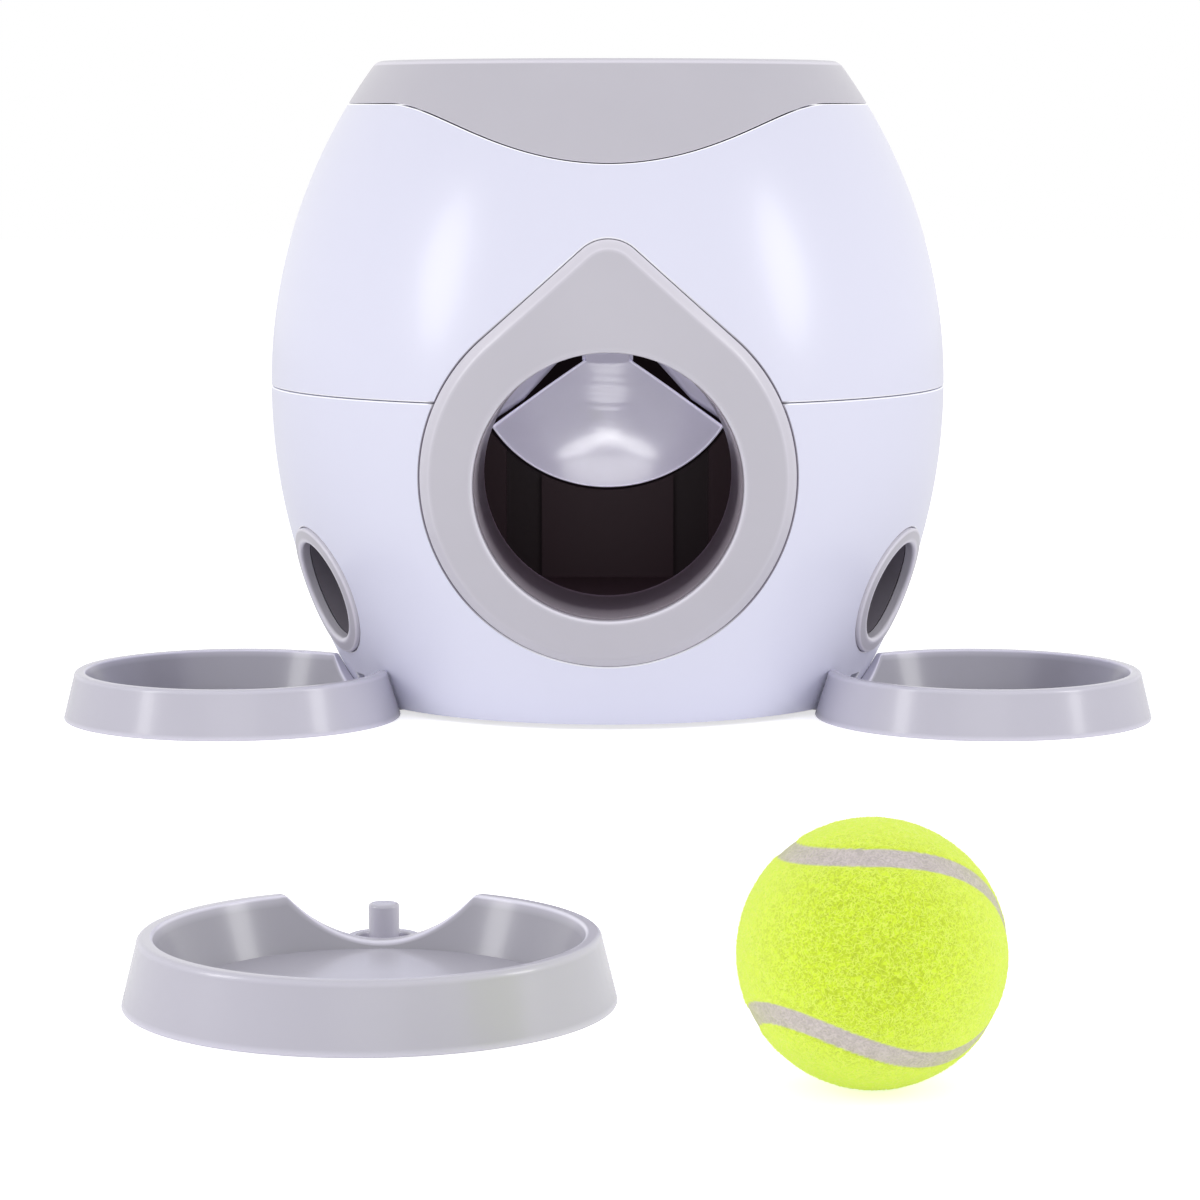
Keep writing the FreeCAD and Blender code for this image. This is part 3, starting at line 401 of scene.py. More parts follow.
def drop_edge(angle, growth):
    """Points (x, z) of the teardrop at angles from +X round the exit's centre.

    The teardrop is a large circle and a small one above it, joined by their common tangents. Each
    ray from the exit's centre leaves it through one of the three: a circle of radius r whose centre
    stands h above is met at h sin(a) + sqrt(r^2 - h^2 cos^2(a)), a tangent line at its distance over
    the cosine between the ray and the line's normal.
    """
    low, high = DROP_RADIUS + growth, DROP_TIP_RADIUS + growth
    lean = math.asin((low - high) / (DROP_TIP_HEIGHT - DROP_HEIGHT))
    low_rise, high_rise = DROP_HEIGHT - EXIT_HEIGHT, DROP_TIP_HEIGHT - EXIT_HEIGHT
    folded = np.arctan2(np.sin(angle), np.abs(np.cos(angle)))
    low_turn = math.atan2(low_rise + low * math.sin(lean), low * math.cos(lean))
    high_turn = math.atan2(high_rise + high * math.sin(lean), high * math.cos(lean))
    on_low = low_rise * np.sin(folded) + np.sqrt(low ** 2 - (low_rise * np.cos(folded)) ** 2)
    on_line = (low + low_rise * math.sin(lean)) / np.cos(np.minimum(folded - lean, math.pi / 3))
    inside = np.maximum(high ** 2 - (high_rise * np.cos(folded)) ** 2, 0.0)
    on_high = high_rise * np.sin(folded) + np.sqrt(inside)
    reach = np.where(folded < low_turn, on_low, np.where(folded < high_turn, on_line, on_high))
    return np.stack([reach * np.cos(angle), EXIT_HEIGHT + reach * np.sin(angle)], axis=-1)


def as_azimuth(outline):
    """(x, z) points of an outline seen from the front, as (azimuth, z) on the barrel."""
    x, z = outline[..., 0], outline[..., 1]
    return np.stack([np.arcsin(x / body_radius(z)), z], axis=-1)


def seam_crossing(z):
    """Angle round the exit's centre at which the teardrop's hole crosses a height on its large circle."""
    low = DROP_RADIUS + BEZEL_GAP
    x = math.sqrt(low ** 2 - (z - DROP_HEIGHT) ** 2)
    return math.atan2(z - EXIT_HEIGHT, x)


def outlet_points(radius, angle, out):
    """Points round a treat outlet's axis, slid along it onto the barrel moved out by out.

    The axis is the barrel's normal at the outlet's height. The slide is found by repeated steps of the
    distance that is left to the barrel. The outlet is made at the front.
    """
    tilt = math.asin((PARTING_HEIGHT - OUTLET_HEIGHT) / LOWER_ARC)
    centre = np.array((0.0, -float(body_radius(OUTLET_HEIGHT)), OUTLET_HEIGHT))
    inward = np.array((0.0, math.cos(tilt), math.sin(tilt)))
    up = np.array((0.0, -math.sin(tilt), math.cos(tilt)))
    across = np.array((1.0, 0.0, 0.0))
    radius, angle, out = np.broadcast_arrays(radius, angle, out)
    ray = np.cos(angle)[..., None] * across + np.sin(angle)[..., None] * up
    flat = centre + radius[..., None] * ray
    slide = np.zeros(radius.shape)
    for _ in range(12):
        x, y, z = np.moveaxis(flat + slide[..., None] * inward, -1, 0)
        slide = slide + np.hypot(x, y) - body_radius(z, out)
    return flat + slide[..., None] * inward


def walled(casing):
    """Gives a casing its wall; its rounded edges take a material with painted highlight, glow and shadow, and
    its cut faces one with a painted gap shadow beside the exit bezel.
    """
    thicken(casing, SHELL_WALL, rim_slot=GAP_SHADOW_SLOT)
    round_edges(casing, CASING_ROUNDING, slot=EDGE_SLOT)
    return casing


def mesh_upper_shell():
    """Barrel skin from the parting line, or the teardrop's hole, up to the collar's wavy edge."""
    share = np.linspace(0.0, 1.0, 30)[:, None]
    start = seam_crossing(SEAM_HIGH)
    outline = as_azimuth(resampled(drop_edge(np.linspace(math.pi - start, start, 900), BEZEL_GAP), 110))
    half = outline[-1, 0]
    behind = np.linspace(half, 2 * math.pi - half, 200)
    patches = Patchwork()
    # beside_bezel marks the row at the hole's edge, where the cut faces get the painted gap shadow
    for azimuth, low, beside_bezel in ((outline[:, 0], outline[:, 1], 1.0), (behind, SEAM_HIGH, 0.0)):
        z = low * (1 - share) + (collar_edge(azimuth) - SEEN_GAP) * share
        patches.grid(on_barrel(azimuth[None], z), mask=beside_bezel * (share == 0))
    return walled(patches.build("upper_casing", closed=False))


def mesh_lower_shell():
    """Barrel skin below the parting line: a patch round the exit, one round each outlet and the plain back.

    All share one list of heights. Below each outlet a foot of straight strips leaves the doorway for
    the tray's tongue and its pin.
    """
    wide, low_top = DOORWAY_LOW
    narrow, high_top = DOORWAY_HIGH
    foot_top = high_top + 3.0
    half = WINDOW_HALF_ANGLE
    first, last = OUTLET_AZIMUTH - half, OUTLET_AZIMUTH + half
    side = polyline([(z,) for z in (SEAM_LOW, foot_top, high_top, low_top, BODY_LOW)], (24, 1, 5, 2))[:, 0]
    patches = Patchwork()

    # round the exit: from the right crossing, under the hole, to the left one
    start, corner = seam_crossing(SEAM_LOW), -math.radians(42.0)
    down = np.linspace(start, corner, len(side))
    under = np.linspace(corner, -math.pi - corner, 61)[1:-1]
    up = np.linspace(-math.pi - corner, -math.pi - start, len(side))
    inner = as_azimuth(drop_edge(np.concatenate([down, under, up]), BEZEL_GAP))
    bottom = np.linspace(first, -first, 61)[1:-1]
    outer = np.concatenate([stack2(first, side), stack2(bottom, BODY_LOW), stack2(-first, side[::-1])])
    grid = ruled(inner, outer, 16)
    # the row at the hole's edge is marked for the painted gap shadow on the cut faces
    beside_bezel = np.zeros((len(grid), 1))
    beside_bezel[0] = 1.0
    patches.grid(on_barrel(grid[..., 0], grid[..., 1]), mask=beside_bezel)

    # round each outlet
    def foot_columns(z):
        doorway = [math.asin(x / float(body_radius(z))) for x in (wide, narrow, -narrow, -wide)]
        return polyline([(edge,) for edge in [half] + doorway + [-half]], (16, 4, 6, 4, 16))[:, 0]

    upper = side[:25]
    top = np.linspace(-half, half, 25)[1:-1]
    outer = np.concatenate([stack2(half, upper[:-1]), stack2(foot_columns(foot_top), foot_top),
                            stack2(-half, upper[-2::-1]), stack2(top, SEAM_LOW), stack2([half], SEAM_LOW)])
    turns = [math.radians(a) for a in (61.0, -46.0, -134.0, -241.0, -299.0)]
    angle = polyline([(turn,) for turn in turns], (24, 46, 24, 24))[:, 0]
    ring = outlet_points(OUTLET_RING + MOULD_GAP, angle, 0.0)
    inner = np.stack([np.arctan2(ring[:, 0], -ring[:, 1]), ring[:, 2]], axis=-1)
    grid = ruled(inner, outer, 14)
    foot = np.stack([stack2(foot_columns(z), z) for z in side[24:]])
    # rows down from the outlet's patch, first and last column
    strips = ((9, 0, 16), (7, 16, 20), (2, 20, 26), (7, 26, 30), (9, 30, 46))
    for azimuth in (OUTLET_AZIMUTH, -OUTLET_AZIMUTH):
        patches.grid(on_barrel(grid[..., 0] + azimuth, grid[..., 1]))
        for rows, left, right in strips:
            part = foot[:rows, left:right + 1]
            patches.grid(on_barrel(part[..., 0] + azimuth, part[..., 1]))
    patches.grid(on_barrel(np.linspace(last, 2 * math.pi - last, 120)[None], side[::-1, None]))
    return walled(patches.build("lower_casing", closed=False))


def mesh_collar():
    """Closed profile round the barrel: wavy edge, barrel wall, rounded rim, flat top, opening and ledge."""
    azimuth = np.linspace(0.0, 2 * math.pi, 288, endpoint=False)
    low = collar_edge(azimuth)
    edge = 0.35
    rim_z = BODY_TOP - RIM_ROUNDING
    rim_radius = float(body_radius(rim_z, -RIM_ROUNDING))
    rim_start = math.asin((rim_z - PARTING_HEIGHT) / (UPPER_ARC - RIM_ROUNDING))
    wall_top = rim_z + RIM_ROUNDING * math.sin(rim_start)
    ledge_top = BODY_TOP - FUNNEL_FLANGE - MOULD_GAP
    # Third value of a row: mask of painted highlight, on the lower edge's rounding and, as glint, on the
    # rim's rounding.
    rows = [(body_radius(low, -COLLAR_WALL), low, 0.0)]
    for turn in np.radians((-90.0, -60.0, -30.0)):
        radius = body_radius(low + edge) - edge + edge * math.cos(turn)
        rows.append((radius, low + edge + edge * math.sin(turn), 0.7))
    for share in np.linspace(0.0, 1.0, 30):
        z = (low + edge) * (1 - share) + wall_top * share
        rows.append((body_radius(z), z, 0.0))
    glint = (0.9, 1.0, 0.8, 0.5, 0.3, 0.3, 0.2, 0.0)
    for turn, mask in zip(np.linspace(rim_start, math.pi / 2, 9)[1:], glint):
        rows.append((rim_radius + RIM_ROUNDING * math.cos(turn), rim_z + RIM_ROUNDING * math.sin(turn), mask))
    lip = 0.9
    for turn in np.linspace(0.0, math.pi / 2, 5):
        radius = RIM_OPENING_RADIUS + lip - lip * math.sin(turn)
        rows.append((radius, BODY_TOP - lip + lip * math.cos(turn), 0.0))
    outer_ledge, inner_ledge = RIM_OPENING_RADIUS + RIM_PLATE, RIM_OPENING_RADIUS - LEDGE_WIDTH
    ledge_low = ledge_top - LEDGE_THICKNESS
    rows += [(r, z, 0.0) for r, z in ((RIM_OPENING_RADIUS, ledge_top), (inner_ledge, ledge_top),
                                      (inner_ledge, ledge_low), (outer_ledge, ledge_low),
                                      (outer_ledge, BODY_TOP - RIM_PLATE))]
    for share in np.linspace(1.0, 0.0, 12):
        z = low * (1 - share) + (BODY_TOP - RIM_PLATE) * share
        rows.append((body_radius(z, -COLLAR_WALL), z, 0.0))
    radius, z, mask = (np.array([np.broadcast_to(row[i], azimuth.shape) for row in rows]) for i in range(3))
    points = stack(radius * np.sin(azimuth), -radius * np.cos(azimuth), z)
    return even_shading(Patchwork().grid(points, wrap=True, mask=mask).build("collar"), 50.0)


def mesh_funnel():
    """Closed profile of circles that shrink and slide forward from flange to throat, and back outside."""
    top, flange_low = BODY_TOP - MOULD_GAP, BODY_TOP - FUNNEL_FLANGE
    rim = RIM_OPENING_RADIUS - MOULD_GAP
    neck = RIM_OPENING_RADIUS - LEDGE_WIDTH - MOULD_GAP
    inner_top = neck + LEDGE_WIDTH / 2
    share = MOULD_GAP / (BODY_TOP - THROAT_TOP)
    outer_throat = THROAT_RADIUS + FUNNEL_WALL
    rows = [(rim, 0.0, flange_low), (rim, 0.0, top),
            (inner_top * (1 - share) + THROAT_RADIUS * share, THROAT_SHIFT * share, top),
            (THROAT_RADIUS, THROAT_SHIFT, THROAT_TOP), (THROAT_RADIUS, THROAT_SHIFT, THROAT_LOW),
            (outer_throat, THROAT_SHIFT, THROAT_LOW), (outer_throat, THROAT_SHIFT, THROAT_TOP - FUNNEL_WALL),
            (neck, 0.0, flange_low), (rim, 0.0, flange_low)]
    angle = np.linspace(0.0, 2 * math.pi, 192, endpoint=False)[None]
    radius, shift, z = (np.array(values)[:, None] for values in zip(*rows))
    points = stack(radius * np.cos(angle), radius * np.sin(angle) - shift, z)
    piece = Patchwork().grid(points, wrap=True).build("bowl")
    round_edges(piece, 1.0, angle=25.0, segments=4)
    return piece


def mesh_front_bezel():
    """Teardrop plate with a round hole, proud of the barrel, with a soft outer bevel and a rolled inner lip.

    Rows run from the buried outer edge over the plate into the hole. Each holds a share of the way
    from the teardrop, offset inwards along its own normal, to the hole's circle, and a height above
    the barrel; a point keeps its x and z and is put on the barrel moved out by that height.
    """
    angle = np.linspace(0.0, 2 * math.pi, 360, endpoint=False)
    lip = 1.5
    # Third value of a row: mask of painted highlight on the outer bevel and, below, on the lip. The bevel's
    # is stronger on the upper side and the lip's at the bottom, where the faces catch the light from above.
    outer = [(0.0, -SHELL_WALL, 0.0), (0.0, -0.35, 0.0), (-0.08, -0.05, 0.5), (-0.3, 0.2, 1.0),
             (-0.8, 0.50, 0.7), (-1.8, 0.95, 0.6), (-BEZEL_BEVEL + 0.7, BEZEL_PROUD - 0.20, 0.6),
             (-BEZEL_BEVEL + 0.1, BEZEL_PROUD - 0.04, 0.8), (-BEZEL_BEVEL - 0.5, BEZEL_PROUD, 0.3),
             (-BEZEL_BEVEL - 1.3, BEZEL_PROUD, 0.0)]
    plain = np.zeros_like(angle)
    skyward = (1 + np.sin(angle)) / 2
    rows = [(drop_edge(angle, inset), height, mask * skyward) for inset, height, mask in outer]
    plate = rows[-1][0]

    def circle(radius):
        return np.stack([radius * np.cos(angle), EXIT_HEIGHT + radius * np.sin(angle)], axis=-1)

    for share in np.linspace(0.0, 1.0, 12)[1:]:
        rows.append((plate * (1 - share) + circle(EXIT_RADIUS + lip + 0.8) * share, BEZEL_PROUD, plain))
    rows.append((circle(EXIT_RADIUS + lip), BEZEL_PROUD, plain + 0.1))
    for turn, mask in zip(np.linspace(0.0, math.pi / 2, 6)[1:], (0.4, 0.9, 1.0, 0.5, 0.0)):
        radius = EXIT_RADIUS + lip * (1 - math.sin(turn))
        rows.append((circle(radius), BEZEL_PROUD - lip * (1 - math.cos(turn)), mask * (1 - 0.6 * skyward)))
    rows.append((circle(EXIT_RADIUS), -SHELL_WALL, plain))
    rows.append(rows[0])
    outline = np.array([row[0] for row in rows])
    height = np.array([row[1] for row in rows])[:, None]
    mask = np.array([row[2] for row in rows])
    x, z = outline[..., 0], outline[..., 1]
    points = stack(x, -np.sqrt(body_radius(z, height) ** 2 - x ** 2), z)
    return even_shading(Patchwork().grid(points, wrap=True, mask=mask).build("exit_bezel"), 60.0)


def hand(side):
    """Name of the side that a sign stands for: 1 is the +X side."""
    return "right" if side > 0 else "left"


def mesh_side_bezel(side):
    """Ring round a treat outlet: circles about its axis, each slid to its height over the barrel."""
    angle = np.linspace(0.0, 2 * math.pi, 160, endpoint=False)[None]
    lip, edge = 1.8, 0.6
    # Third value of a row: mask of painted highlight on the ring's outer rounding and on the lip.
    rows = [(OUTLET_RING, -SHELL_WALL, 0.0), (OUTLET_RING, OUTLET_PROUD - edge, 0.5)]
    rows += [(OUTLET_RING - edge * (1 - math.cos(turn)), OUTLET_PROUD - edge * (1 - math.sin(turn)), 0.8)
             for turn in np.radians((30.0, 60.0, 90.0))]
    rows += [(OUTLET_RING - edge - 0.6, OUTLET_PROUD, 0.0), (OUTLET_BORE + lip + 0.8, OUTLET_PROUD, 0.0)]
    rows += [(OUTLET_BORE + lip * (1 - math.sin(turn)), OUTLET_PROUD - lip * (1 - math.cos(turn)), mask)
             for turn, mask in zip(np.linspace(0.0, math.pi / 2, 7), (0.5, 0.9, 1.0, 1.0, 0.6, 0.2, 0.0))]
    rows += [(OUTLET_BORE, -SHELL_WALL, 0.0), rows[0]]
    radius, out, mask = (np.array(values)[:, None] for values in zip(*rows))
    points = turned(outlet_points(radius, angle, out), side * OUTLET_AZIMUTH)
    piece = Patchwork().grid(points, wrap=True, mask=mask).build(f"outlet_ring_{hand(side)}")
    return even_shading(piece, 60.0)


# ---------------------------------------------------------------- rotor

def mesh_blade(index):
    """Skin on a sphere, over a fan of rays from the hub to the blades' sweep, turned about the rotor's axis.

    The outer end of each ray is where its distance from the rotor's centre equals the blades' radius.
    Above the fan a short flap runs up the hub's front. Sphere, a sloping skirt and the hub, a parabola
    from the side, are softly joined. A row of shallow ripples, left by the moulding, fades out below
    the hub.
    """
    angle = np.linspace(-BLADE_HALF_ANGLE, BLADE_HALF_ANGLE, 91)
    front = BLADE_DISH_RADIUS - BLADE_THICKNESS
    centre_y = BLADE_THICKNESS - BLADE_DISH_RADIUS

    def depth(x, z):
        dish = centre_y + np.sqrt(front ** 2 - x ** 2 - (z + BLADE_DISH_CENTRE) ** 2)
        hub = z ** 2 / (2 * HUB_RADIUS) - HUB_RADIUS
        skirt = SKIRT_FRONT - SKIRT_SLOPE * (z + HUB_RADIUS) - x ** 2 / (2 * front)
        wave = RIPPLE_DEPTH * np.sin(2 * math.pi * z / RIPPLE_PITCH + RIPPLE_LEAN * x)
        fade = np.exp(-(x / RIPPLE_REACH) ** 2 - ((z + RIPPLE_PLACE) / RIPPLE_REACH) ** 2)
        return soft_min(soft_min(dish, skirt, 0.6), hub, 1.5) + wave * fade

    reach = np.full(angle.shape, BLADE_RADIUS)
    for _ in range(8):
        reach = np.sqrt(BLADE_RADIUS ** 2 - depth(reach * np.sin(angle), -reach * np.cos(angle)) ** 2)
    root = HUB_RADIUS - 0.4
    share = np.linspace(0.0, 1.0, 90)[:, None]
    radius = root / np.cos(angle) * (1 - share) + reach * share
    flap = np.linspace(HUB_RADIUS / 4, -root, 14)[:-1, None]
    size = (len(flap), len(angle))
    x = np.concatenate([np.broadcast_to(root * np.tan(angle), size), radius * np.sin(angle)])
    z = np.concatenate([np.broadcast_to(flap, size), -radius * np.cos(angle)])
    y = depth(x, z)
    turn = 2 * math.pi * index / BLADE_COUNT
    points = stack(x, y * math.cos(turn) - z * math.sin(turn) - ROTOR_FORWARD,
                   y * math.sin(turn) + z * math.cos(turn) + ROTOR_HEIGHT)
    # rim: mask of a painted glow along the blade's edges, standing in for light through the plastic; none on
    # the flap
    inside = np.minimum(BLADE_RADIUS - np.sqrt(x ** 2 + y ** 2 + z ** 2),
                        np.hypot(x, z) * np.sin(BLADE_HALF_ANGLE - np.abs(angle)))
    rim = np.clip(1 - inside / EDGE_GLOW, 0.0, 1.0)
    rim[:len(flap) + 1] = 0.0
    piece = Patchwork().grid(points, flip=True, mask=rim).build(f"blade_{index + 1}", closed=False)
    thicken(piece, BLADE_THICKNESS)
    round_edges(piece, 0.55, segments=4)
    return piece


def mesh_cheek(side):
    """Cone about the rotor's axis, clear of the blades' sides, with a softer slope past its knee."""
    slope = math.tan(math.pi / 2 - BLADE_HALF_ANGLE)
    knee = CHEEK_KNEE * slope - CHEEK_CLEARANCE
    end = CHEEK_END * slope - CHEEK_CLEARANCE
    tip = CHEEK_START + CHEEK_BORE * (CHEEK_KNEE - CHEEK_START) / knee
    seat = CHEEK_END - CHEEK_SEAT_DEPTH
    profile = [(CHEEK_BORE, tip), (knee, CHEEK_KNEE), (end, CHEEK_END), (CHEEK_SEAT_RADIUS, CHEEK_END),
               (CHEEK_SEAT_RADIUS, seat), (CHEEK_BORE, seat), (CHEEK_BORE, tip)]
    points = lathe([(radius, side * x) for radius, x in profile], 160, axis="x")
    points = moved(points, 0, -ROTOR_FORWARD, ROTOR_HEIGHT)
    piece = Patchwork().grid(points, wrap=True).build(f"cone_{hand(side)}")
    round_edges(piece, 0.8, angle=15.0, segments=4)
    return piece


# ---------------------------------------------------------------- trays

def notch_reach(toward, z):
    """Distance from a tray's centre to the barrel, less the gap, along rays of cosine toward to the body."""
    barrel = body_radius(z, TRAY_BODY_GAP)
    ahead = TRAY_DISTANCE * toward
    inside = ahead ** 2 - (TRAY_DISTANCE ** 2 - barrel ** 2)
    meets = (inside > 0) & (toward > 0)
    return np.where(meets, ahead - np.sqrt(np.maximum(inside, 0.0)), 2 * TRAY_BOTTOM_RADIUS)


def rim_height(x):
    """Height of the tray's rim in its scoop, at a distance from the middle line: an arc up from the lip."""
    rise = TRAY_HEIGHT - LIP_HEIGHT
    arc = (HORN_HALF_SPREAD ** 2 + rise ** 2) / (2 * rise)
    return LIP_HEIGHT + arc - np.sqrt(np.maximum(arc ** 2 - x ** 2, 0.0))


def tray_dish():
    """Tray as rays about its centre, each with one profile, and the mask of each of its rows.

    The profile runs over foot, outer wall, rolled rim, inner wall and floor. The outer wall is the
    tray's cone or the barrel, whichever is nearer, softly joined. Towards the body the rim sinks to the
    scoop's height at that ray. The mask is 1 where the rim's inner edge gets a painted highlight and -1
    where the inner wall gets painted shade.
    """
    bearing = np.linspace(-math.pi, math.pi, 360, endpoint=False)
    toward = np.cos(bearing)
    near_body = toward > 0
    lateral = TRAY_INNER_TOP_RADIUS * np.sin(bearing)
    scooped = np.where(near_body & (np.abs(lateral) < HORN_HALF_SPREAD), rim_height(lateral), TRAY_HEIGHT)
    top = soft_min(scooped, np.full_like(scooped, TRAY_HEIGHT), HORN_ROUNDING)
    top = np.minimum(top + HORN_ROUNDING / 4, TRAY_HEIGHT)

    def outer(z):
        cone = TRAY_BOTTOM_RADIUS - (TRAY_BOTTOM_RADIUS - TRAY_TOP_RADIUS) * z / TRAY_HEIGHT
        return soft_min(cone, notch_reach(toward, z), HORN_ROUNDING)

    def inner(z):
        share = (z - TRAY_FLOOR) / (TRAY_HEIGHT - TRAY_FLOOR)
        return TRAY_FLOOR_RADIUS + (TRAY_INNER_TOP_RADIUS - TRAY_FLOOR_RADIUS) * share

    rolled = np.minimum((outer(top) - inner(top)) / 2, 2.2)
    foot = 0.5
    fillet = 1.2
    rows = [(np.zeros_like(top), np.zeros_like(top)), (outer(0.0) - foot, np.zeros_like(top)),
            (outer(foot) - foot * 0.3, np.full_like(top, foot * 0.3))]
    for share in np.linspace(0.0, 1.0, 12):
        z = foot * (1 - share) + (top - rolled) * share
        rows.append((outer(z), z))
    side = outer(top - rolled)
    for turn in np.linspace(0.0, math.pi / 2, 7)[1:]:
        rows.append((side - rolled * (1 - math.cos(turn)), top - rolled * (1 - math.sin(turn))))
    inner_roll = rolled * 0.6
    side = inner(top - inner_roll)
    for turn in np.linspace(math.pi / 2, 0.0, 6):
        rows.append((side + inner_roll * (1 - math.cos(turn)), top - inner_roll * (1 - math.sin(turn))))
    for share in np.linspace(0.0, 1.0, 8)[1:]:
        z = (top - inner_roll) * (1 - share) + (TRAY_FLOOR + fillet) * share
        rows.append((inner(z), z))
    side = inner(TRAY_FLOOR + fillet)
    for turn in np.linspace(0.0, math.pi / 2, 5)[1:]:
        rows.append((np.full_like(top, side - fillet * math.sin(turn)),
                     np.full_like(top, TRAY_FLOOR + fillet * (1 - math.cos(turn)))))
    rows.append((np.full_like(top, TRAY_FLOOR_RADIUS / 2), np.full_like(top, TRAY_FLOOR)))
    rows.append((np.zeros_like(top), np.full_like(top, TRAY_FLOOR)))
    radius, z = (np.array([row[i] for row in rows]) for i in (0, 1))
    # mask: painted highlight on the foot, the rolled rim and most on the rim's inner edge; painted shade on
    # the inner wall and, less, on the floor's fillet
    mask = np.concatenate([(0.0, 0.0, 0.6, 0.5), np.zeros(11), (0.1, 0.2, 0.2, 0.1, 0.1, 0.1),
                           (0.1, 0.4, 0.9, 1.0, 0.5, 0.0), np.full(7, -1.0), np.full(4, -0.6), (0.0, 0.0)])
    return stack(radius * np.sin(bearing), radius * toward - TRAY_DISTANCE, z), mask[:, None]


def swept_bead(path, section):
    """Section of (across, up) points carried along a level path."""
    ahead = np.gradient(path, axis=0)
    ahead /= np.linalg.norm(ahead, axis=1)[:, None]
    side = np.stack([ahead[:, 1], -ahead[:, 0]], axis=-1)
    across, up = (np.array(values, float) for values in zip(*section))
    x = path[:, 0, None] + side[:, 0, None] * across
    y = path[:, 1, None] + side[:, 1, None] * across
    return stack(x, y, up)


def tray_rib(radius, half_angle):
    """Half-round rib on the tray's floor along an arc, its ends closed by quarter spheres."""
    rise = RIB_HEIGHT + 0.2
    low = TRAY_FLOOR - 0.2
    body = np.linspace(-half_angle, half_angle, 60)
    cap = np.linspace(0.0, math.pi / 2, 7)[1:]
    past = RIB_HALF_WIDTH / radius
    angle = np.concatenate([-half_angle - past * np.sin(cap[::-1]), body, half_angle + past * np.sin(cap)])
    taper = np.concatenate([np.cos(cap[::-1]), np.ones(60), np.cos(cap)])
    turn = np.linspace(0.0, math.pi, 13)
    spread = RIB_HALF_WIDTH * np.cos(turn)[None] * taper[:, None]
    height = low + rise * np.sin(turn)[None] * np.sqrt(np.maximum(taper, 0.0))[:, None]
    reach = radius + spread
    top = stack(reach * np.sin(angle)[:, None], -RIB_CENTRE - reach * np.cos(angle)[:, None], height)
    base = top.copy()
    base[..., 2] = low
    return top, base


def tray_tongue():
    """U of rounded wall round the peg, and the recess floor inside it."""
    turn = np.linspace(0.0, math.pi, 33)

    def round_the_peg(radius):
        return np.stack([radius * np.cos(turn), -PEG_DISTANCE + radius * np.sin(turn)], axis=-1)

    middle = TONGUE_HALF_WIDTH - TONGUE_BORDER / 2
    start = -body_radius(0.0, TRAY_BODY_GAP) - TONGUE_BORDER
    bend = round_the_peg(middle)
    path = np.concatenate([polyline([(middle, start), tuple(bend[0])], (6,))[:-1], bend,
                           polyline([tuple(bend[-1]), (-middle, start)], (6,))[1:]])
    half, edge = TONGUE_BORDER / 2, 0.8
    corner = np.linspace(0.0, math.pi / 2, 5)
    right = [(half - edge * (1 - math.cos(a)), TONGUE_HEIGHT - edge * (1 - math.sin(a))) for a in corner]
    section = [(half, 0.0)] + right + [(-across, up) for across, up in right[::-1]] + [(-half, 0.0)]
    wall = swept_bead(path, section + section[:1])
    inner = TONGUE_HALF_WIDTH - TONGUE_BORDER + 0.4
    outline = np.concatenate([[(inner, start)], round_the_peg(inner), [(-inner, start)]])
    x, y = outline[:, 0], outline[:, 1] + PEG_DISTANCE
    levels = ((0.0, 0.0), (1.0, 0.0), (1.0, TONGUE_FLOOR), (0.0, TONGUE_FLOOR))
    floor = np.stack([stack(x * share, -PEG_DISTANCE + y * share, height) for share, height in levels])
    return wall, floor


def tray_place(points, which):
    """Tray points made at the front, put where one of the three trays stands."""
    if which == "loose":
        return moved(points, LOOSE_TRAY_X, LOOSE_TRAY_Y + TRAY_DISTANCE, 0)
    return turned(points, OUTLET_AZIMUTH if which == "right" else -OUTLET_AZIMUTH)


def mesh_tray(which):
    """Dish, its two ribs and the tongue with its recess, as one piece."""
    dish, mask = tray_dish()
    patches = Patchwork().grid(tray_place(dish, which), wrap=True, mask=mask)
    for size in RIBS:
        for half in tray_rib(*size):
            patches.grid(tray_place(half, which))
    wall, floor = tray_tongue()
    patches.grid(tray_place(wall, which)).grid(tray_place(floor, which), wrap=True)
    return even_shading(patches.build(f"treat_tray_{which}"), 55.0)


def mesh_peg(which):
    """Round pin with a rolled top."""
    roll = 1.0
    profile = [(0.0, 0.0), (PEG_RADIUS, 0.0), (PEG_RADIUS, PEG_HEIGHT - roll)]
    profile += [(PEG_RADIUS - roll * (1 - math.cos(a)), PEG_HEIGHT - roll * (1 - math.sin(a)))
                for a in np.linspace(0.0, math.pi / 2, 6)[1:]]
    profile.append((0.0, PEG_HEIGHT))
    points = tray_place(moved(lathe(profile, 64), 0, -PEG_DISTANCE, 0), which)
    return even_shading(Patchwork().grid(points, wrap=True).build(f"tray_pin_{which}"), 50.0)


# ---------------------------------------------------------------- ball

def seam_curve(count):
    """Ball seam on the unit sphere, turned to its place.

    Before the turns its points are (a cos t + b cos 3t, a sin t - b sin 3t, 2 sqrt(ab) sin 2t).
    """
    t = np.linspace(0.0, 2 * math.pi, count, endpoint=False)
    a, b = SEAM_SWING, 1 - SEAM_SWING
    points = np.stack([a * np.cos(t) + b * np.cos(3 * t), a * np.sin(t) - b * np.sin(3 * t),
                       2 * math.sqrt(a * b) * np.sin(2 * t)], axis=-1)
    points /= np.linalg.norm(points, axis=1)[:, None]
    for axis, angle in enumerate(SEAM_TURN):
        i, j = (axis + 1) % 3, (axis + 2) % 3
        old_i, old_j = points[:, i].copy(), points[:, j].copy()
        points[:, i] = old_i * math.cos(angle) - old_j * math.sin(angle)
        points[:, j] = old_i * math.sin(angle) + old_j * math.cos(angle)
    return points


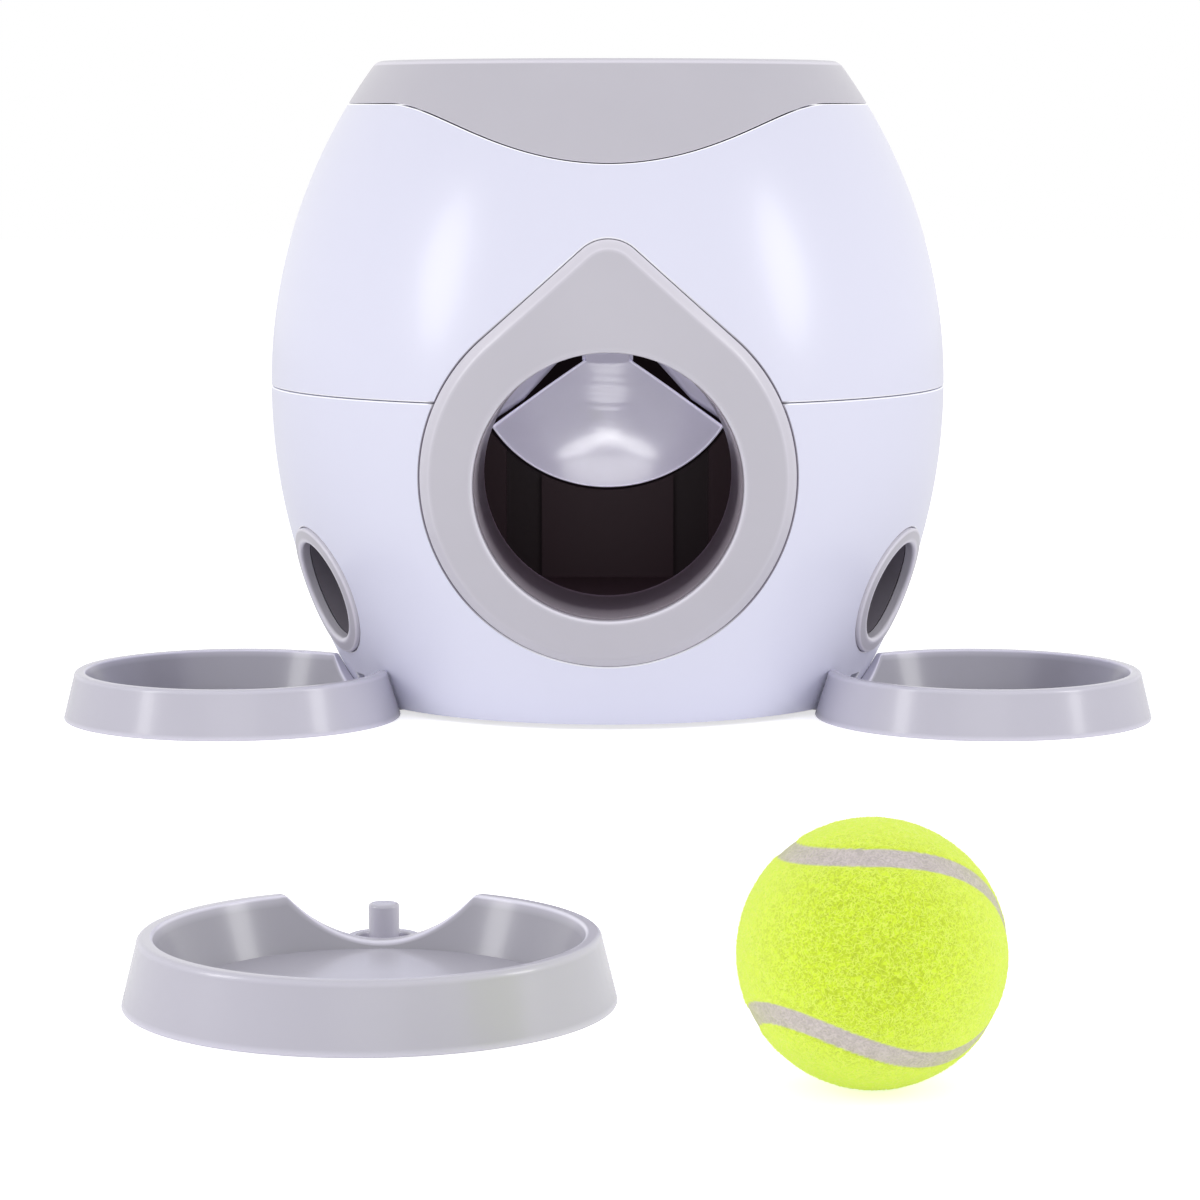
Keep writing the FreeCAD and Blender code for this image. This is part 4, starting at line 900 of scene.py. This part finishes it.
def from_seam(directions):
    """Distance over the ball's surface from each direction to the seam's middle, in millimetres."""
    curve = seam_curve(720)
    best = np.full(len(directions), -1.0)
    for part in np.array_split(np.arange(len(directions)), 40):
        best[part] = (directions[part] @ curve.T).max(axis=1)
    return BALL_RADIUS * np.arccos(np.clip(best, -1.0, 1.0))


def sphere_directions(cells):
    """Unit vectors over a cube's six faces, spread by the tangent so that the cells are even."""
    ramp = np.tan(np.linspace(-math.pi / 4, math.pi / 4, cells + 1))
    u, v = np.meshgrid(ramp, ramp, indexing="ij")
    one = np.ones_like(u)
    faces = [stack(one, u, v), stack(-one, v, u), stack(v, one, u), stack(u, -one, v), stack(u, v, one),
             stack(v, u, -one)]
    return [face / np.linalg.norm(face, axis=-1)[..., None] for face in faces]


def mesh_ball(seam_width, nap):
    """Sphere of felt with lumps of summed sines, sunk along the seam, whose mask its points hold."""
    patches = Patchwork()
    for face in sphere_directions(96):
        flat = face.reshape(-1, 3)
        gap = from_seam(flat)
        cover = np.clip((gap - seam_width / 2) / 0.5, 0.0, 1.0)
        lumps = sum(np.sin(flat @ np.array(wave)) for wave in LUMP_WAVES) / len(LUMP_WAVES)
        sunk = SEAM_DEPTH * (1 - cover * cover * (3 - 2 * cover))
        radius = BALL_RADIUS - nap / 2 - sunk + LUMP_HEIGHT * lumps * cover
        patches.grid((flat * radius[:, None] + BALL_CENTRE).reshape(face.shape))
    piece = patches.build("felt_ball")
    points = np.zeros(len(piece.data.vertices) * 3)
    piece.data.vertices.foreach_get("co", points)
    directions = points.reshape(-1, 3) / MM - BALL_CENTRE
    directions /= np.linalg.norm(directions, axis=1)[:, None]
    mask = np.clip((seam_width / 2 + 0.15 - from_seam(directions)) / 0.3, 0.0, 1.0)
    piece.data.attributes.new("seam", "FLOAT", "POINT").data.foreach_set("value", mask.astype(np.float32))
    return piece


def mesh_nap(seam_width, nap, count, seed):
    """Felt fibres: curled ribbons of three cells that lie over the ball at random, none on the seam.

    Each starts just under the felt, runs along a bent path on the sphere, rises and dips again.
    """
    random = np.random.default_rng(seed)

    def unit(vectors):
        return vectors / np.linalg.norm(vectors, axis=1)[:, None]

    out = unit(random.normal(size=(count * 2, 3)))
    lean = random.normal(size=out.shape)
    lean = unit(lean - out * (lean * out).sum(axis=1)[:, None])
    side = np.cross(out, lean)
    length = random.uniform(*FIBRE_LENGTH, len(out))[:, None] / BALL_RADIUS
    curl = random.uniform(-FIBRE_CURL, FIBRE_CURL, len(out))[:, None]
    tip = unit(out + lean * length + side * curl * length)
    clear = np.minimum(from_seam(out), from_seam(tip)) > seam_width / 2 + 0.1
    out, lean, side, length, curl = (values[clear][:count] for values in (out, lean, side, length, curl))
    rise = nap * random.uniform(0.6, 1.0, len(out))[:, None]
    rows = []
    # share of the fibre's length, half its width there
    for share, half in ((0.0, 0.06), (0.33, 0.06), (0.67, 0.05), (1.0, 0.02)):
        middle = unit(out + lean * length * share + side * curl * length * share ** 2)
        middle = middle * (BALL_RADIUS - nap - 0.1 + (rise + 0.08) * math.sin(share * math.pi * 0.75))
        across = unit(side - lean * 2 * curl * share) * half
        rows.append(np.stack([middle - across, middle + across], axis=1))
    strips = np.stack(rows, axis=1) + BALL_CENTRE
    mesh = bpy.data.meshes.new("felt_nap")
    base = np.arange(len(strips))[:, None, None] * 8
    cells = base + np.array(((0, 1, 3, 2), (2, 3, 5, 4), (4, 5, 7, 6)))[None]
    mesh.from_pydata(strips.reshape(-1, 3) * MM, [], cells.reshape(-1, 4))
    return linked("felt_nap", mesh)


# ---------------------------------------------------------------- finishes

WHITE = (1.0, 1.0, 1.0, 1.0)
FINE_GRAIN = 900.0
BROAD_GRAIN = 22.0
GRAIN_DEPTH = 0.2
GLOSS_DRIFT = 0.08
CURL_SCALE = 900.0
CURL_DEPTH = 0.4
FELT_LIGHT = 0.12                       # light that the felt gives off
BLADE_RIM_LIGHT = 0.40                  # light that a blade's rim gives off
DARK_LIFT = (0.0035, 0.0022, 0.0028, 1.0)
DARK_SPECULAR = 0.12


def fill(tree, node, entries):
    """Sets a node's inputs by name or place, each to a value or to another node's output."""
    for name, value in entries.items():
        if isinstance(value, bpy.types.NodeSocket):
            tree.links.new(value, node.inputs[name])
        else:
            node.inputs[name].default_value = value


def added(tree, kind, entries=None, **settings):
    """New shader node with its settings and its inputs."""
    node = tree.nodes.new(f"ShaderNode{kind}")
    for name, value in settings.items():
        setattr(node, name, value)
    fill(tree, node, entries or {})
    return node


def worked_out(tree, operation, *values):
    """Output of a product or the like of numbers and other nodes' outputs."""
    return added(tree, "Math", dict(enumerate(values)), operation=operation).outputs["Value"]


def mixed(tree, factor, low, high):
    """Output that runs from one colour to another, each a tuple or another node's output."""
    mix = added(tree, "Mix", {"Factor": factor, "A": low, "B": high}, data_type="RGBA")
    return mix.outputs["Result"]


def new_material(name):
    """Material that holds a plain shader."""
    material = bpy.data.materials.new(name)
    material.use_nodes = True
    return material


def shader_of(material):
    """The shader that a material ends in."""
    return material.node_tree.nodes["Principled BSDF"]


def linear(colour):
    """Colour from its screen values to the linear ones that a shader takes."""
    return tuple(c / 12.92 if c <= 0.04045 else ((c + 0.055) / 1.055) ** 2.4 for c in colour[:3])


def scaled(colour, factor):
    """Colour made paler or darker, up to white."""
    return tuple(min(c * factor, 1.0) for c in colour)


def shaded(colour, factor=1.0):
    """Screen colour as a shader takes it, made paler or darker by a factor."""
    return scaled(linear(colour), factor) + (1.0,)


def grain_group():
    """Node group: fine noise as a height and broad noise as a mask, on the object's own coordinates."""
    name = "moulded_grain"
    if name in bpy.data.node_groups:
        return bpy.data.node_groups[name]
    group = bpy.data.node_groups.new(name, "ShaderNodeTree")
    for title, scale in (("Fine scale", FINE_GRAIN), ("Broad scale", BROAD_GRAIN)):
        item = group.interface.new_socket(name=title, in_out="INPUT", socket_type="NodeSocketFloat")
        item.default_value = scale
    for title in ("Height", "Mask"):
        group.interface.new_socket(name=title, in_out="OUTPUT", socket_type="NodeSocketFloat")
    entry, leave = group.nodes.new("NodeGroupInput"), group.nodes.new("NodeGroupOutput")
    where = added(group, "TexCoord").outputs["Object"]
    for scale, detail, output in (("Fine scale", 2.0, "Height"), ("Broad scale", 4.0, "Mask")):
        noise = added(group, "TexNoise", {"Vector": where, "Scale": entry.outputs[scale], "Detail": detail})
        fill(group, leave, {output: noise.outputs["Fac"]})
    return group


def moulded(name, colour, roughness, fine=FINE_GRAIN, broad=BROAD_GRAIN, bump=0.03, variation=0.03, coat=0.0,
            metallic=0.0, specular=0.5):
    """Moulded plastic or metal: its colour drifts over broad patches, and a fine grain breaks the gloss."""
    if name in bpy.data.materials:
        return bpy.data.materials[name]
    material = new_material(name)
    tree = material.node_tree
    grain = added(tree, "Group", {"Fine scale": fine, "Broad scale": broad}, node_tree=grain_group()).outputs
    low, high = shaded(colour, 1 - variation), shaded(colour, 1 + variation)
    drift = GLOSS_DRIFT if variation else 0.0
    gloss = added(tree, "MapRange", {"Value": grain["Mask"], "To Min": roughness * (1 - drift),
                                     "To Max": roughness * (1 + drift)})
    relief = added(tree, "Bump", {"Height": grain["Height"], "Strength": bump, "Distance": GRAIN_DEPTH * MM})
    fill(tree, shader_of(material), {
        "Base Color": mixed(tree, grain["Mask"], low, high),
        "Roughness": gloss.outputs["Result"],
        "Normal": relief.outputs["Normal"],
        "Metallic": metallic,
        "Coat Weight": coat,
        "Coat Roughness": roughness * 0.5,
        "Specular IOR Level": specular,
    })
    return material


def along(material, axis, start, end, mirrored=False):
    """Mask from 0 to 1 between two places along an axis, in millimetres; mirrored, on both sides of 0."""
    tree = material.node_tree
    where = added(tree, "TexCoord").outputs["Object"]
    value = added(tree, "SeparateXYZ", {"Vector": where}).outputs[axis]
    if mirrored:
        value = worked_out(tree, "ABSOLUTE", value)
    ramp = added(tree, "MapRange", {"Value": value, "From Min": start * MM, "From Max": end * MM})
    return ramp.outputs["Result"]


def point_mask(material, name="edge"):
    """Mask that the points of a piece hold; edge marks where light or shade is painted, mostly on its rims.
    """
    return added(material.node_tree, "Attribute", attribute_name=name).outputs["Fac"]


def tint(material, colour, *masks):
    """Mixes a colour into the material's own where all the masks are 1."""
    tree, shader = material.node_tree, shader_of(material)
    factor = masks[0]
    for mask in masks[1:]:
        factor = worked_out(tree, "MULTIPLY", factor, mask)
    own = shader.inputs["Base Color"].links[0].from_socket
    fill(tree, shader, {"Base Color": mixed(tree, factor, own, shaded(colour))})


def glow(material, colour, strength, mask):
    """Painted glow: light that a plastic gives off where the mask is 1, standing in for light it gathers."""
    tree = material.node_tree
    fill(tree, shader_of(material), {"Emission Color": shaded(colour),
                                     "Emission Strength": worked_out(tree, "MULTIPLY", mask, strength)})


def lifted(material):
    """Keeps the deepest shadow of a dark plastic from falling to black, by a faint painted glow."""
    fill(material.node_tree, shader_of(material), {"Emission Color": DARK_LIFT, "Emission Strength": 1.0})
    return material


def sleeve_with_painted_light(dark, pale):
    """Tunnel plastic with painted light: pale at its mouth and painted darker further in as shade, with a
    paler band at its inner end as a painted highlight.
    """
    material = moulded("sleeve_plastic", pale, 0.3)
    mouth, end_highlight = -float(body_radius(EXIT_HEIGHT)), -SLEEVE_END_DEPTH - 3.0
    tint(material, dark, along(material, "Y", mouth, mouth + SLEEVE_PALE_DEPTH))
    # painted highlight at the tunnel's inner end
    tint(material, scaled(dark, 1.6), along(material, "Y", end_highlight - 1.0, end_highlight))
    return material


def ramp_with_painted_slot_shade(dark):
    """Chamber plastic with painted shade in the riser's two upright slots."""
    material = lifted(moulded("ramp_plastic", dark, 0.5, specular=DARK_SPECULAR))
    slots = (along(material, "X", SLOT_INNER - 0.2, SLOT_INNER + 0.2, mirrored=True),
             along(material, "X", SLOT_OUTER + 0.2, SLOT_OUTER - 0.2, mirrored=True),
             along(material, "Y", RISER_FACE + 0.3, RISER_FACE + 0.8))
    tint(material, scaled(dark, 0.55), *slots)
    return material


def painted_sheen_share(material):
    """Mask of painted sheen that grows towards the ball's outline, where more fibre ends lie along the line
    of sight.
    """
    facing = added(material.node_tree, "LayerWeight").outputs["Facing"]
    share = added(material.node_tree, "MapRange", {"Value": facing, "From Min": 0.08, "To Max": 0.85})
    return share.outputs["Result"]


def felt(name, colour, seam_colour, outline_sheen_colour):
    """Ball felt: two greens mixed by curly noise, made paler at grazing angles by a painted sheen, and bare
    rubber on the seam; the felt has a faint painted glow.
    """
    material = new_material(name)
    tree = material.node_tree
    where = added(tree, "TexCoord").outputs["Object"]
    noise = {"Vector": where, "Scale": CURL_SCALE, "Detail": 3.0, "Distortion": 1.6}
    curls = added(tree, "TexNoise", noise).outputs["Fac"]
    contrast = added(tree, "MapRange", {"Value": curls, "From Min": 0.35, "From Max": 0.65}).outputs["Result"]
    greens = mixed(tree, contrast, shaded(colour, 0.74), shaded(colour, 1.08))
    nap = mixed(tree, painted_sheen_share(material), greens, shaded(outline_sheen_colour))
    rubber = mixed(tree, contrast, shaded(seam_colour, 0.8), shaded(seam_colour, 1.1))
    skin = mixed(tree, point_mask(material, "seam"), nap, rubber)
    relief = added(tree, "Bump", {"Height": curls, "Strength": 0.7, "Distance": CURL_DEPTH * MM})
    fill(tree, shader_of(material), {
        "Base Color": skin,
        "Emission Color": skin,
        "Emission Strength": FELT_LIGHT,
        "Normal": relief.outputs["Normal"],
        "Roughness": 0.9,
        "Specular IOR Level": 0.2,
        "Sheen Weight": 0.6,
        "Sheen Roughness": 0.5,
        "Sheen Tint": shaded(colour, 1.1),
    })
    return material


def trim_with_painted_highlights(settings):
    """Grey plastic with a painted highlight: paler along the rims that catch the light."""
    material = moulded("trim_plastic", settings.trim_colour, 0.32, coat=0.15)
    tint(material, scaled(settings.trim_colour, 1.18), point_mask(material))
    return material


# ---------------------------------------------------------------- stage, in metres

FLOOR_REACH = 6000.0                    # millimetres
FLOOR_WHITE = 0.6
FLOOR_GREY = (0.9, 0.9, 0.9, 1.0)
STRIP_DISTANCE = 1.5
STRIP_HEIGHT = 0.7
MIDDLE = (0.0, 0.0, 0.14)
BLADE_SPOT = (0.0, 0.0, 0.11)
WING_ROLL = math.radians(23.8)


def strip_spot(azimuth):
    """Place of an upright lamp beside the machine."""
    return (STRIP_DISTANCE * math.sin(azimuth), -STRIP_DISTANCE * math.cos(azimuth), STRIP_HEIGHT)


# name, shape, place, aim, size, watts and roll; those called exit stand in the mouth of the tunnel
LAMPS = (
    ("strip_left", "ELLIPSE", strip_spot(math.radians(-59.0)), MIDDLE, (0.42, 0.85), 4.4, 0.0),
    ("strip_right", "ELLIPSE", strip_spot(math.radians(64.0)), MIDDLE, (0.42, 0.85), 4.4, 0.0),
    ("overhead", "RECTANGLE", (0.0, -0.45, 1.8), (0.0, 0.0, 0.2), (1.6, 0.05), 0.6, 0.0),
    ("front", "ELLIPSE", (0.0, -1.75, 0.6), MIDDLE, (1.1, 0.75), 1.0, 0.0),
    ("exit_high", "ELLIPSE", (0.0, -0.120, 0.1315), BLADE_SPOT, (0.058, 0.020), 0.0112, 0.0),
    ("exit_wing_right", "ELLIPSE", (0.0145, -0.1195, 0.1154), BLADE_SPOT, (0.033, 0.008), 0.0060, WING_ROLL),
    ("exit_wing_left", "ELLIPSE", (-0.0145, -0.1195, 0.1154), BLADE_SPOT, (0.033, 0.008), 0.0060, -WING_ROLL),
    ("exit_middle", "ELLIPSE", (0.0, -0.119, 0.1100), BLADE_SPOT, (0.015, 0.012), 0.0024, 0.0),
    ("exit_low", "ELLIPSE", (0.0, -0.116, 0.0742), BLADE_SPOT, (0.021, 0.0465), 0.0098, 0.0),
)


def area_lamp(name, shape, spot, aim, size, watts, roll):
    """Flat lamp at a point, turned to face another and rolled about its own axis."""
    lamp = bpy.data.lights.new(name, "AREA")
    lamp.shape = shape
    lamp.size, lamp.size_y = size
    lamp.energy = watts
    holder = linked(name, lamp)
    holder.location = spot
    facing = Vector(np.subtract(aim, spot)).to_track_quat("-Z", "Y")
    holder.rotation_euler = (facing @ Quaternion((0.0, 0.0, 1.0), roll)).to_euler()


def floor_sheet(light):
    """White floor that shows the camera more light than it throws on the pieces."""
    ends = np.array((-FLOOR_REACH, FLOOR_REACH))
    floor = Patchwork().grid(stack(ends[None, :], ends[:, None], 0.0)).build("floor", closed=False)
    material = new_material("floor_paint")
    tree = material.node_tree
    seen = added(tree, "LightPath").outputs["Is Camera Ray"]
    level = added(tree, "MapRange", {"Value": seen, "To Min": light, "To Max": FLOOR_WHITE})
    fill(tree, shader_of(material), {"Base Color": FLOOR_GREY, "Roughness": 0.9, "Specular IOR Level": 0.0,
                                     "Emission Color": WHITE, "Emission Strength": level.outputs["Result"]})
    floor.data.materials.append(material)
    return floor


def white_room(scene, strength):
    """Even light on the pieces, and full white where the camera, a gloss or a clear piece meets the room."""
    scene.world = bpy.data.worlds.new("room")
    scene.world.use_nodes = True
    tree = scene.world.node_tree
    even = tree.nodes["Background"]
    fill(tree, even, {"Color": WHITE, "Strength": strength})
    white = added(tree, "Background", {"Color": WHITE, "Strength": 1.0})
    path = added(tree, "LightPath").outputs
    seen = path["Is Camera Ray"]
    for kind in ("Is Glossy Ray", "Is Transmission Ray"):
        seen = worked_out(tree, "MAXIMUM", seen, path[kind])
    mix = added(tree, "MixShader", {"Fac": seen, 1: even.outputs["Background"],
                                    2: white.outputs["Background"]})
    fill(tree, tree.nodes["World Output"], {"Surface": mix.outputs["Shader"]})


def front_camera(scene):
    """Long lens before the ball exit, looking down a little."""
    camera = bpy.data.cameras.new("camera")
    camera.lens = CAMERA_LENS
    camera.sensor_width = SENSOR_WIDTH
    camera.clip_end = CAMERA_REACH
    holder = linked("camera", camera)
    holder.location = np.array(CAMERA_PLACE) * MM
    holder.rotation_euler = (math.pi / 2 - CAMERA_PITCH, 0.0, 0.0)
    scene.camera = holder
    scene.view_settings.view_transform = "Standard"


# ---------------------------------------------------------------- settings

def colour_property(name, description, default):
    """Colour that a user sets by its screen values."""
    return bpy.props.FloatVectorProperty(name=name, description=description, default=default, size=3, min=0.0,
                                         max=1.0, subtype="COLOR_GAMMA")


def amount_property(name, description, default):
    """Number from 0 up that a user sets."""
    return bpy.props.FloatProperty(name=name, description=description, default=default, min=0.0)


class CasingSettings(bpy.types.PropertyGroup):
    shell_colour: colour_property("Casing colour", "Screen colour of the two casings", (0.890, 0.891, 0.966))
    trim_colour: colour_property("Trim colour", "Screen colour of the collar, bowl and bezels",
                                 (0.762, 0.750, 0.790))
    roughness: bpy.props.FloatProperty(name="Roughness", description="Roughness of the casings", default=0.28,
                                       min=0.0, max=1.0, subtype="FACTOR")
    # painted highlight on the casings' rounded edges
    edge_highlight_colour: colour_property("Edges", "Screen colour of the casings' edges", (0.970, 0.970, 1.000))
    # painted shadow in the gap round the exit bezel
    gap_shadow_colour: colour_property("Gap", "Screen colour in the narrow gap round the exit bezel",
                                (0.500, 0.475, 0.540))
    # painted glow at the casings' top edges
    edge_light: amount_property("Edge light", "Light that the thin edges give off", 0.12)


class RotorSettings(bpy.types.PropertyGroup):
    blade_colour: colour_property("Blades", "Screen colour of the blades and cones", (0.880, 0.865, 0.955))
    dark_colour: colour_property("Chamber colour", "Screen colour of the chamber and its ramp",
                                 (0.142, 0.085, 0.110))


class TraySettings(bpy.types.PropertyGroup):
    colour: colour_property("Tray colour", "Screen colour of the trays and their pegs", (0.760, 0.750, 0.802))


class BallSettings(bpy.types.PropertyGroup):
    felt_colour: colour_property("Felt colour", "Screen colour of the ball's felt", (0.840, 0.930, 0.250))
    seam_colour: colour_property("Seam colour", "Screen colour of the ball's seam", (0.800, 0.755, 0.775))
    # painted sheen near the ball's outline
    outline_sheen_colour: colour_property("Outline", "Screen colour of the felt near the ball's outline",
                                    (0.945, 1.000, 0.500))
    fibre_colour: colour_property("Fibre colour", "Screen colour of the loose fibres", (0.925, 1.000, 0.440))
    seam_width: amount_property("Seam width", "Width of the seam in millimetres", 5.8)
    nap: amount_property("Nap", "Height of the felt's fibres in millimetres", 0.6)
    fibres: bpy.props.IntProperty(name="Fibres", description="Number of fibres", default=26000, min=0)
    seed: bpy.props.IntProperty(name="Seed", description="Seed of the fibres' places", default=7)


class StageSettings(bpy.types.PropertyGroup):
    lamp: amount_property("Lamps", "Strength of the lamps", 1.0)
    world: amount_property("Room light", "Strength of the even light", 0.71)
    floor_light: amount_property("Floor light", "Light that the floor adds from below", 0.15)


class FetchMachineSettings(bpy.types.PropertyGroup):
    casings: bpy.props.PointerProperty(type=CasingSettings)
    rotor: bpy.props.PointerProperty(type=RotorSettings)
    trays: bpy.props.PointerProperty(type=TraySettings)
    ball: bpy.props.PointerProperty(type=BallSettings)
    stage: bpy.props.PointerProperty(type=StageSettings)


# ---------------------------------------------------------------- operators

class FETCH_OT_casings(bpy.types.Operator):
    """Build the upper and the lower casing"""
    bl_idname = "fetch.casings"
    bl_label = "Casings"

    def execute(self, context):
        settings = context.scene.fetch_machine.casings
        colour, roughness = settings.shell_colour, settings.roughness
        finish = moulded("casing_plastic", colour, roughness, variation=0.0, coat=0.15)
        # copy of the casing plastic for the cut faces, with a painted gap shadow where the points beside the
        # exit bezel are marked
        gap = moulded("casing_gap_shadow", colour, 0.5, variation=0.0)
        tint(gap, settings.gap_shadow_colour, point_mask(gap))
        # edges beside the bezel take the painted gap shadow, and only those at a casing's top get a painted
        # glow; the rest show the edge colour, a painted highlight
        for build, node, start, share in ((mesh_upper_shell, "upper_shell", DROP_TIP_HEIGHT + 18.0, 2.5),
                                          (mesh_lower_shell, "lower_shell", SEAM_LOW - 3.0, 1.0)):
            edge = moulded(f"{node}_edge", settings.edge_highlight_colour, roughness, variation=0.0, coat=0.3)
            tint(edge, settings.gap_shadow_colour, along(edge, "X", 20.0, 55.0, mirrored=True), point_mask(edge))
            above = along(edge, "Z", start, start + 2.0)
            glow(edge, settings.edge_highlight_colour, share * settings.edge_light, above)
            piece = place(build(), "root", "white_shell", finish, node)
            piece.data.materials.append(edge)
            piece.data.materials.append(gap)
        return {"FINISHED"}


class FETCH_OT_trim(bpy.types.Operator):
    """Build the collar, the lift-out bowl, the exit bezel and the two outlet rings"""
    bl_idname = "fetch.trim"
    bl_label = "Collar, bowl and bezels"

    def execute(self, context):
        finish = trim_with_painted_highlights(context.scene.fetch_machine.casings)
        place(mesh_collar(), "root", "grey_trim", finish, "top_collar")
        place(mesh_funnel(), "funnel", "grey_trim", finish, "funnel_bowl")
        place(mesh_front_bezel(), "root", "grey_trim", finish, "front_bezel")
        for side in (1, -1):
            place(mesh_side_bezel(side), "root", "grey_trim", finish, f"side_bezel_{hand(side)}")
        return {"FINISHED"}


class FETCH_OT_rotor(bpy.types.Operator):
    """Build the three blades and the cones beside them"""
    bl_idname = "fetch.rotor"
    bl_label = "Rotor"

    def execute(self, context):
        colour = context.scene.fetch_machine.rotor.blade_colour
        finish = moulded("blade_plastic", colour, 0.16, broad=60.0, variation=0.05, coat=0.5)
        # painted glow on the blades' rims
        glow(finish, colour, BLADE_RIM_LIGHT, point_mask(finish))
        for index in range(BLADE_COUNT):
            place(mesh_blade(index), "rotor", "clear_grey", finish, f"rotor_blade_{index + 1}")
        cone = moulded("cone_plastic", colour, 0.25, broad=60.0, variation=0.05, coat=0.3)
        for side in (1, -1):
            place(mesh_cheek(side), "root", "clear_grey", cone, f"cheek_{hand(side)}")
        return {"FINISHED"}


class FETCH_OT_trays(bpy.types.Operator):
    """Build the two fitted trays and the loose one, each with its pin"""
    bl_idname = "fetch.trays"
    bl_label = "Trays"

    def execute(self, context):
        colour = context.scene.fetch_machine.trays.colour
        finish = moulded("tray_plastic", colour, 0.26, coat=0.35)
        mask = point_mask(finish)
        # painted highlight where the mask is above 0, painted shade where it is below 0
        tint(finish, scaled(colour, 1.24), mask)
        tint(finish, scaled(colour, 0.86), worked_out(finish.node_tree, "MULTIPLY", mask, -1.0))
        for which in ("left", "right", "loose"):
            body = f"{which}_tray"
            place(mesh_tray(which), body, "tray_grey", finish, f"tray_{which}")
            place(mesh_peg(which), body, "tray_grey", finish, f"tray_{which}_peg")
        return {"FINISHED"}


class FETCH_OT_ball(bpy.types.Operator):
    """Build the felt ball and its nap"""
    bl_idname = "fetch.ball"
    bl_label = "Ball"

    def execute(self, context):
        settings = context.scene.fetch_machine.ball
        skin = felt("ball_felt_skin", settings.felt_colour, settings.seam_colour, settings.outline_sheen_colour)
        place(mesh_ball(settings.seam_width, settings.nap), "ball", "ball_felt", skin, "ball_felt")
        fibres = moulded("felt_fibre", settings.fibre_colour, 0.8, fine=2500.0, broad=300.0, variation=0.1,
                         specular=0.2)
        # faint painted glow on the fibres, and painted sheen towards the ball's outline
        fill(fibres.node_tree, shader_of(fibres), {"Sheen Weight": 0.6, "Emission Strength": FELT_LIGHT,
                                                   "Emission Color": shaded(settings.fibre_colour)})
        tint(fibres, settings.outline_sheen_colour, painted_sheen_share(fibres))
        nap = mesh_nap(settings.seam_width, settings.nap, settings.fibres, settings.seed)
        place(nap, "ball", "ball_felt", fibres)
        return {"FINISHED"}


class FETCH_OT_inner_pieces(bpy.types.Operator):
    """Give the pieces that the frame holds their finishes"""
    bl_idname = "fetch.inner_pieces"
    bl_label = "Inner pieces"

    def execute(self, context):
        settings = context.scene.fetch_machine
        dark = settings.rotor.dark_colour
        by_slot = {
            "dark_inner": lifted(moulded("chamber_plastic", dark, 0.5, specular=DARK_SPECULAR)),
            "inner_grey": moulded("inner_plastic", settings.casings.trim_colour, 0.5),
            "drum_white": moulded("drum_plastic", (0.88, 0.88, 0.90), 0.45),
            "steel": moulded("screw_steel", (0.70, 0.70, 0.72), 0.3, broad=200.0, metallic=1.0),
            "bush_brass": moulded("bush_metal", (0.75, 0.60, 0.30), 0.3, broad=200.0, metallic=1.0),
            "foot_rubber": moulded("foot_rubber", (0.12, 0.12, 0.13), 0.8, bump=0.2),
            "ball_rubber": moulded("core_rubber", (0.25, 0.22, 0.22), 0.8, bump=0.2),
        }
        chute = moulded("chute_plastic", (0.47, 0.45, 0.49), 0.45)
        by_node = {
            "treat_chute_left": chute,
            "treat_chute_right": chute,
            # the tunnel's pale mouth, and painted shade deeper in
            "outlet_sleeve": sleeve_with_painted_light((0.27, 0.23, 0.27), (0.80, 0.76, 0.80)),
            "ball_ramp": ramp_with_painted_slot_shade(dark),
            "rotor_hub": bpy.data.materials["blade_plastic"],
        }
        for entry in frame["record"]["subparts"]:
            node = frame["nodes"][entry["node"]]
            finish = by_node.get(entry["node"], by_slot.get(entry["material_slot"]))
            if finish is not None and not node.hide_render:
                node.material_slots[0].material = finish
        return {"FINISHED"}


class FETCH_OT_stage(bpy.types.Operator):
    """Set the floor, the lamps, the room and the camera"""
    bl_idname = "fetch.stage"
    bl_label = "Stage"

    def execute(self, context):
        settings = context.scene.fetch_machine.stage
        floor_sheet(settings.floor_light)
        white_room(context.scene, settings.world)
        for name, shape, spot, aim, size, watts, roll in LAMPS:
            area_lamp(name, shape, spot, aim, size, watts * settings.lamp, roll)
        front_camera(context.scene)
        return {"FINISHED"}


OPERATORS = (FETCH_OT_casings, FETCH_OT_trim, FETCH_OT_rotor, FETCH_OT_trays, FETCH_OT_ball,
             FETCH_OT_inner_pieces, FETCH_OT_stage)


class FETCH_PT_panel(bpy.types.Panel):
    """Lists the pieces in building order"""
    bl_idname = "FETCH_PT_panel"
    bl_label = "Fetch machine"
    bl_space_type = "VIEW_3D"
    bl_region_type = "UI"
    bl_category = "Fetch machine"

    def draw(self, context):
        for operator in OPERATORS:
            box = self.layout.box()
            box.label(text=operator.bl_label)
            group = getattr(context.scene.fetch_machine, operator.bl_idname.split(".")[1], None)
            if group is not None:
                for name in group.__annotations__:
                    box.prop(group, name)
            box.operator(operator.bl_idname)


CLASSES = (CasingSettings, RotorSettings, TraySettings, BallSettings, StageSettings, FetchMachineSettings,
           *OPERATORS, FETCH_PT_panel)


def register():
    """Makes the settings, the operators and the panel known."""
    for item in CLASSES:
        bpy.utils.register_class(item)
    bpy.types.Scene.fetch_machine = bpy.props.PointerProperty(type=FetchMachineSettings)


def unregister():
    """Takes them away again, in reverse."""
    del bpy.types.Scene.fetch_machine
    for item in reversed(CLASSES):
        bpy.utils.unregister_class(item)


def main():
    """Builds every group in order."""
    register()
    for operator in OPERATORS:
        group, name = operator.bl_idname.split(".")
        getattr(getattr(bpy.ops, group), name)()


if __name__ == "__main__":
    main()
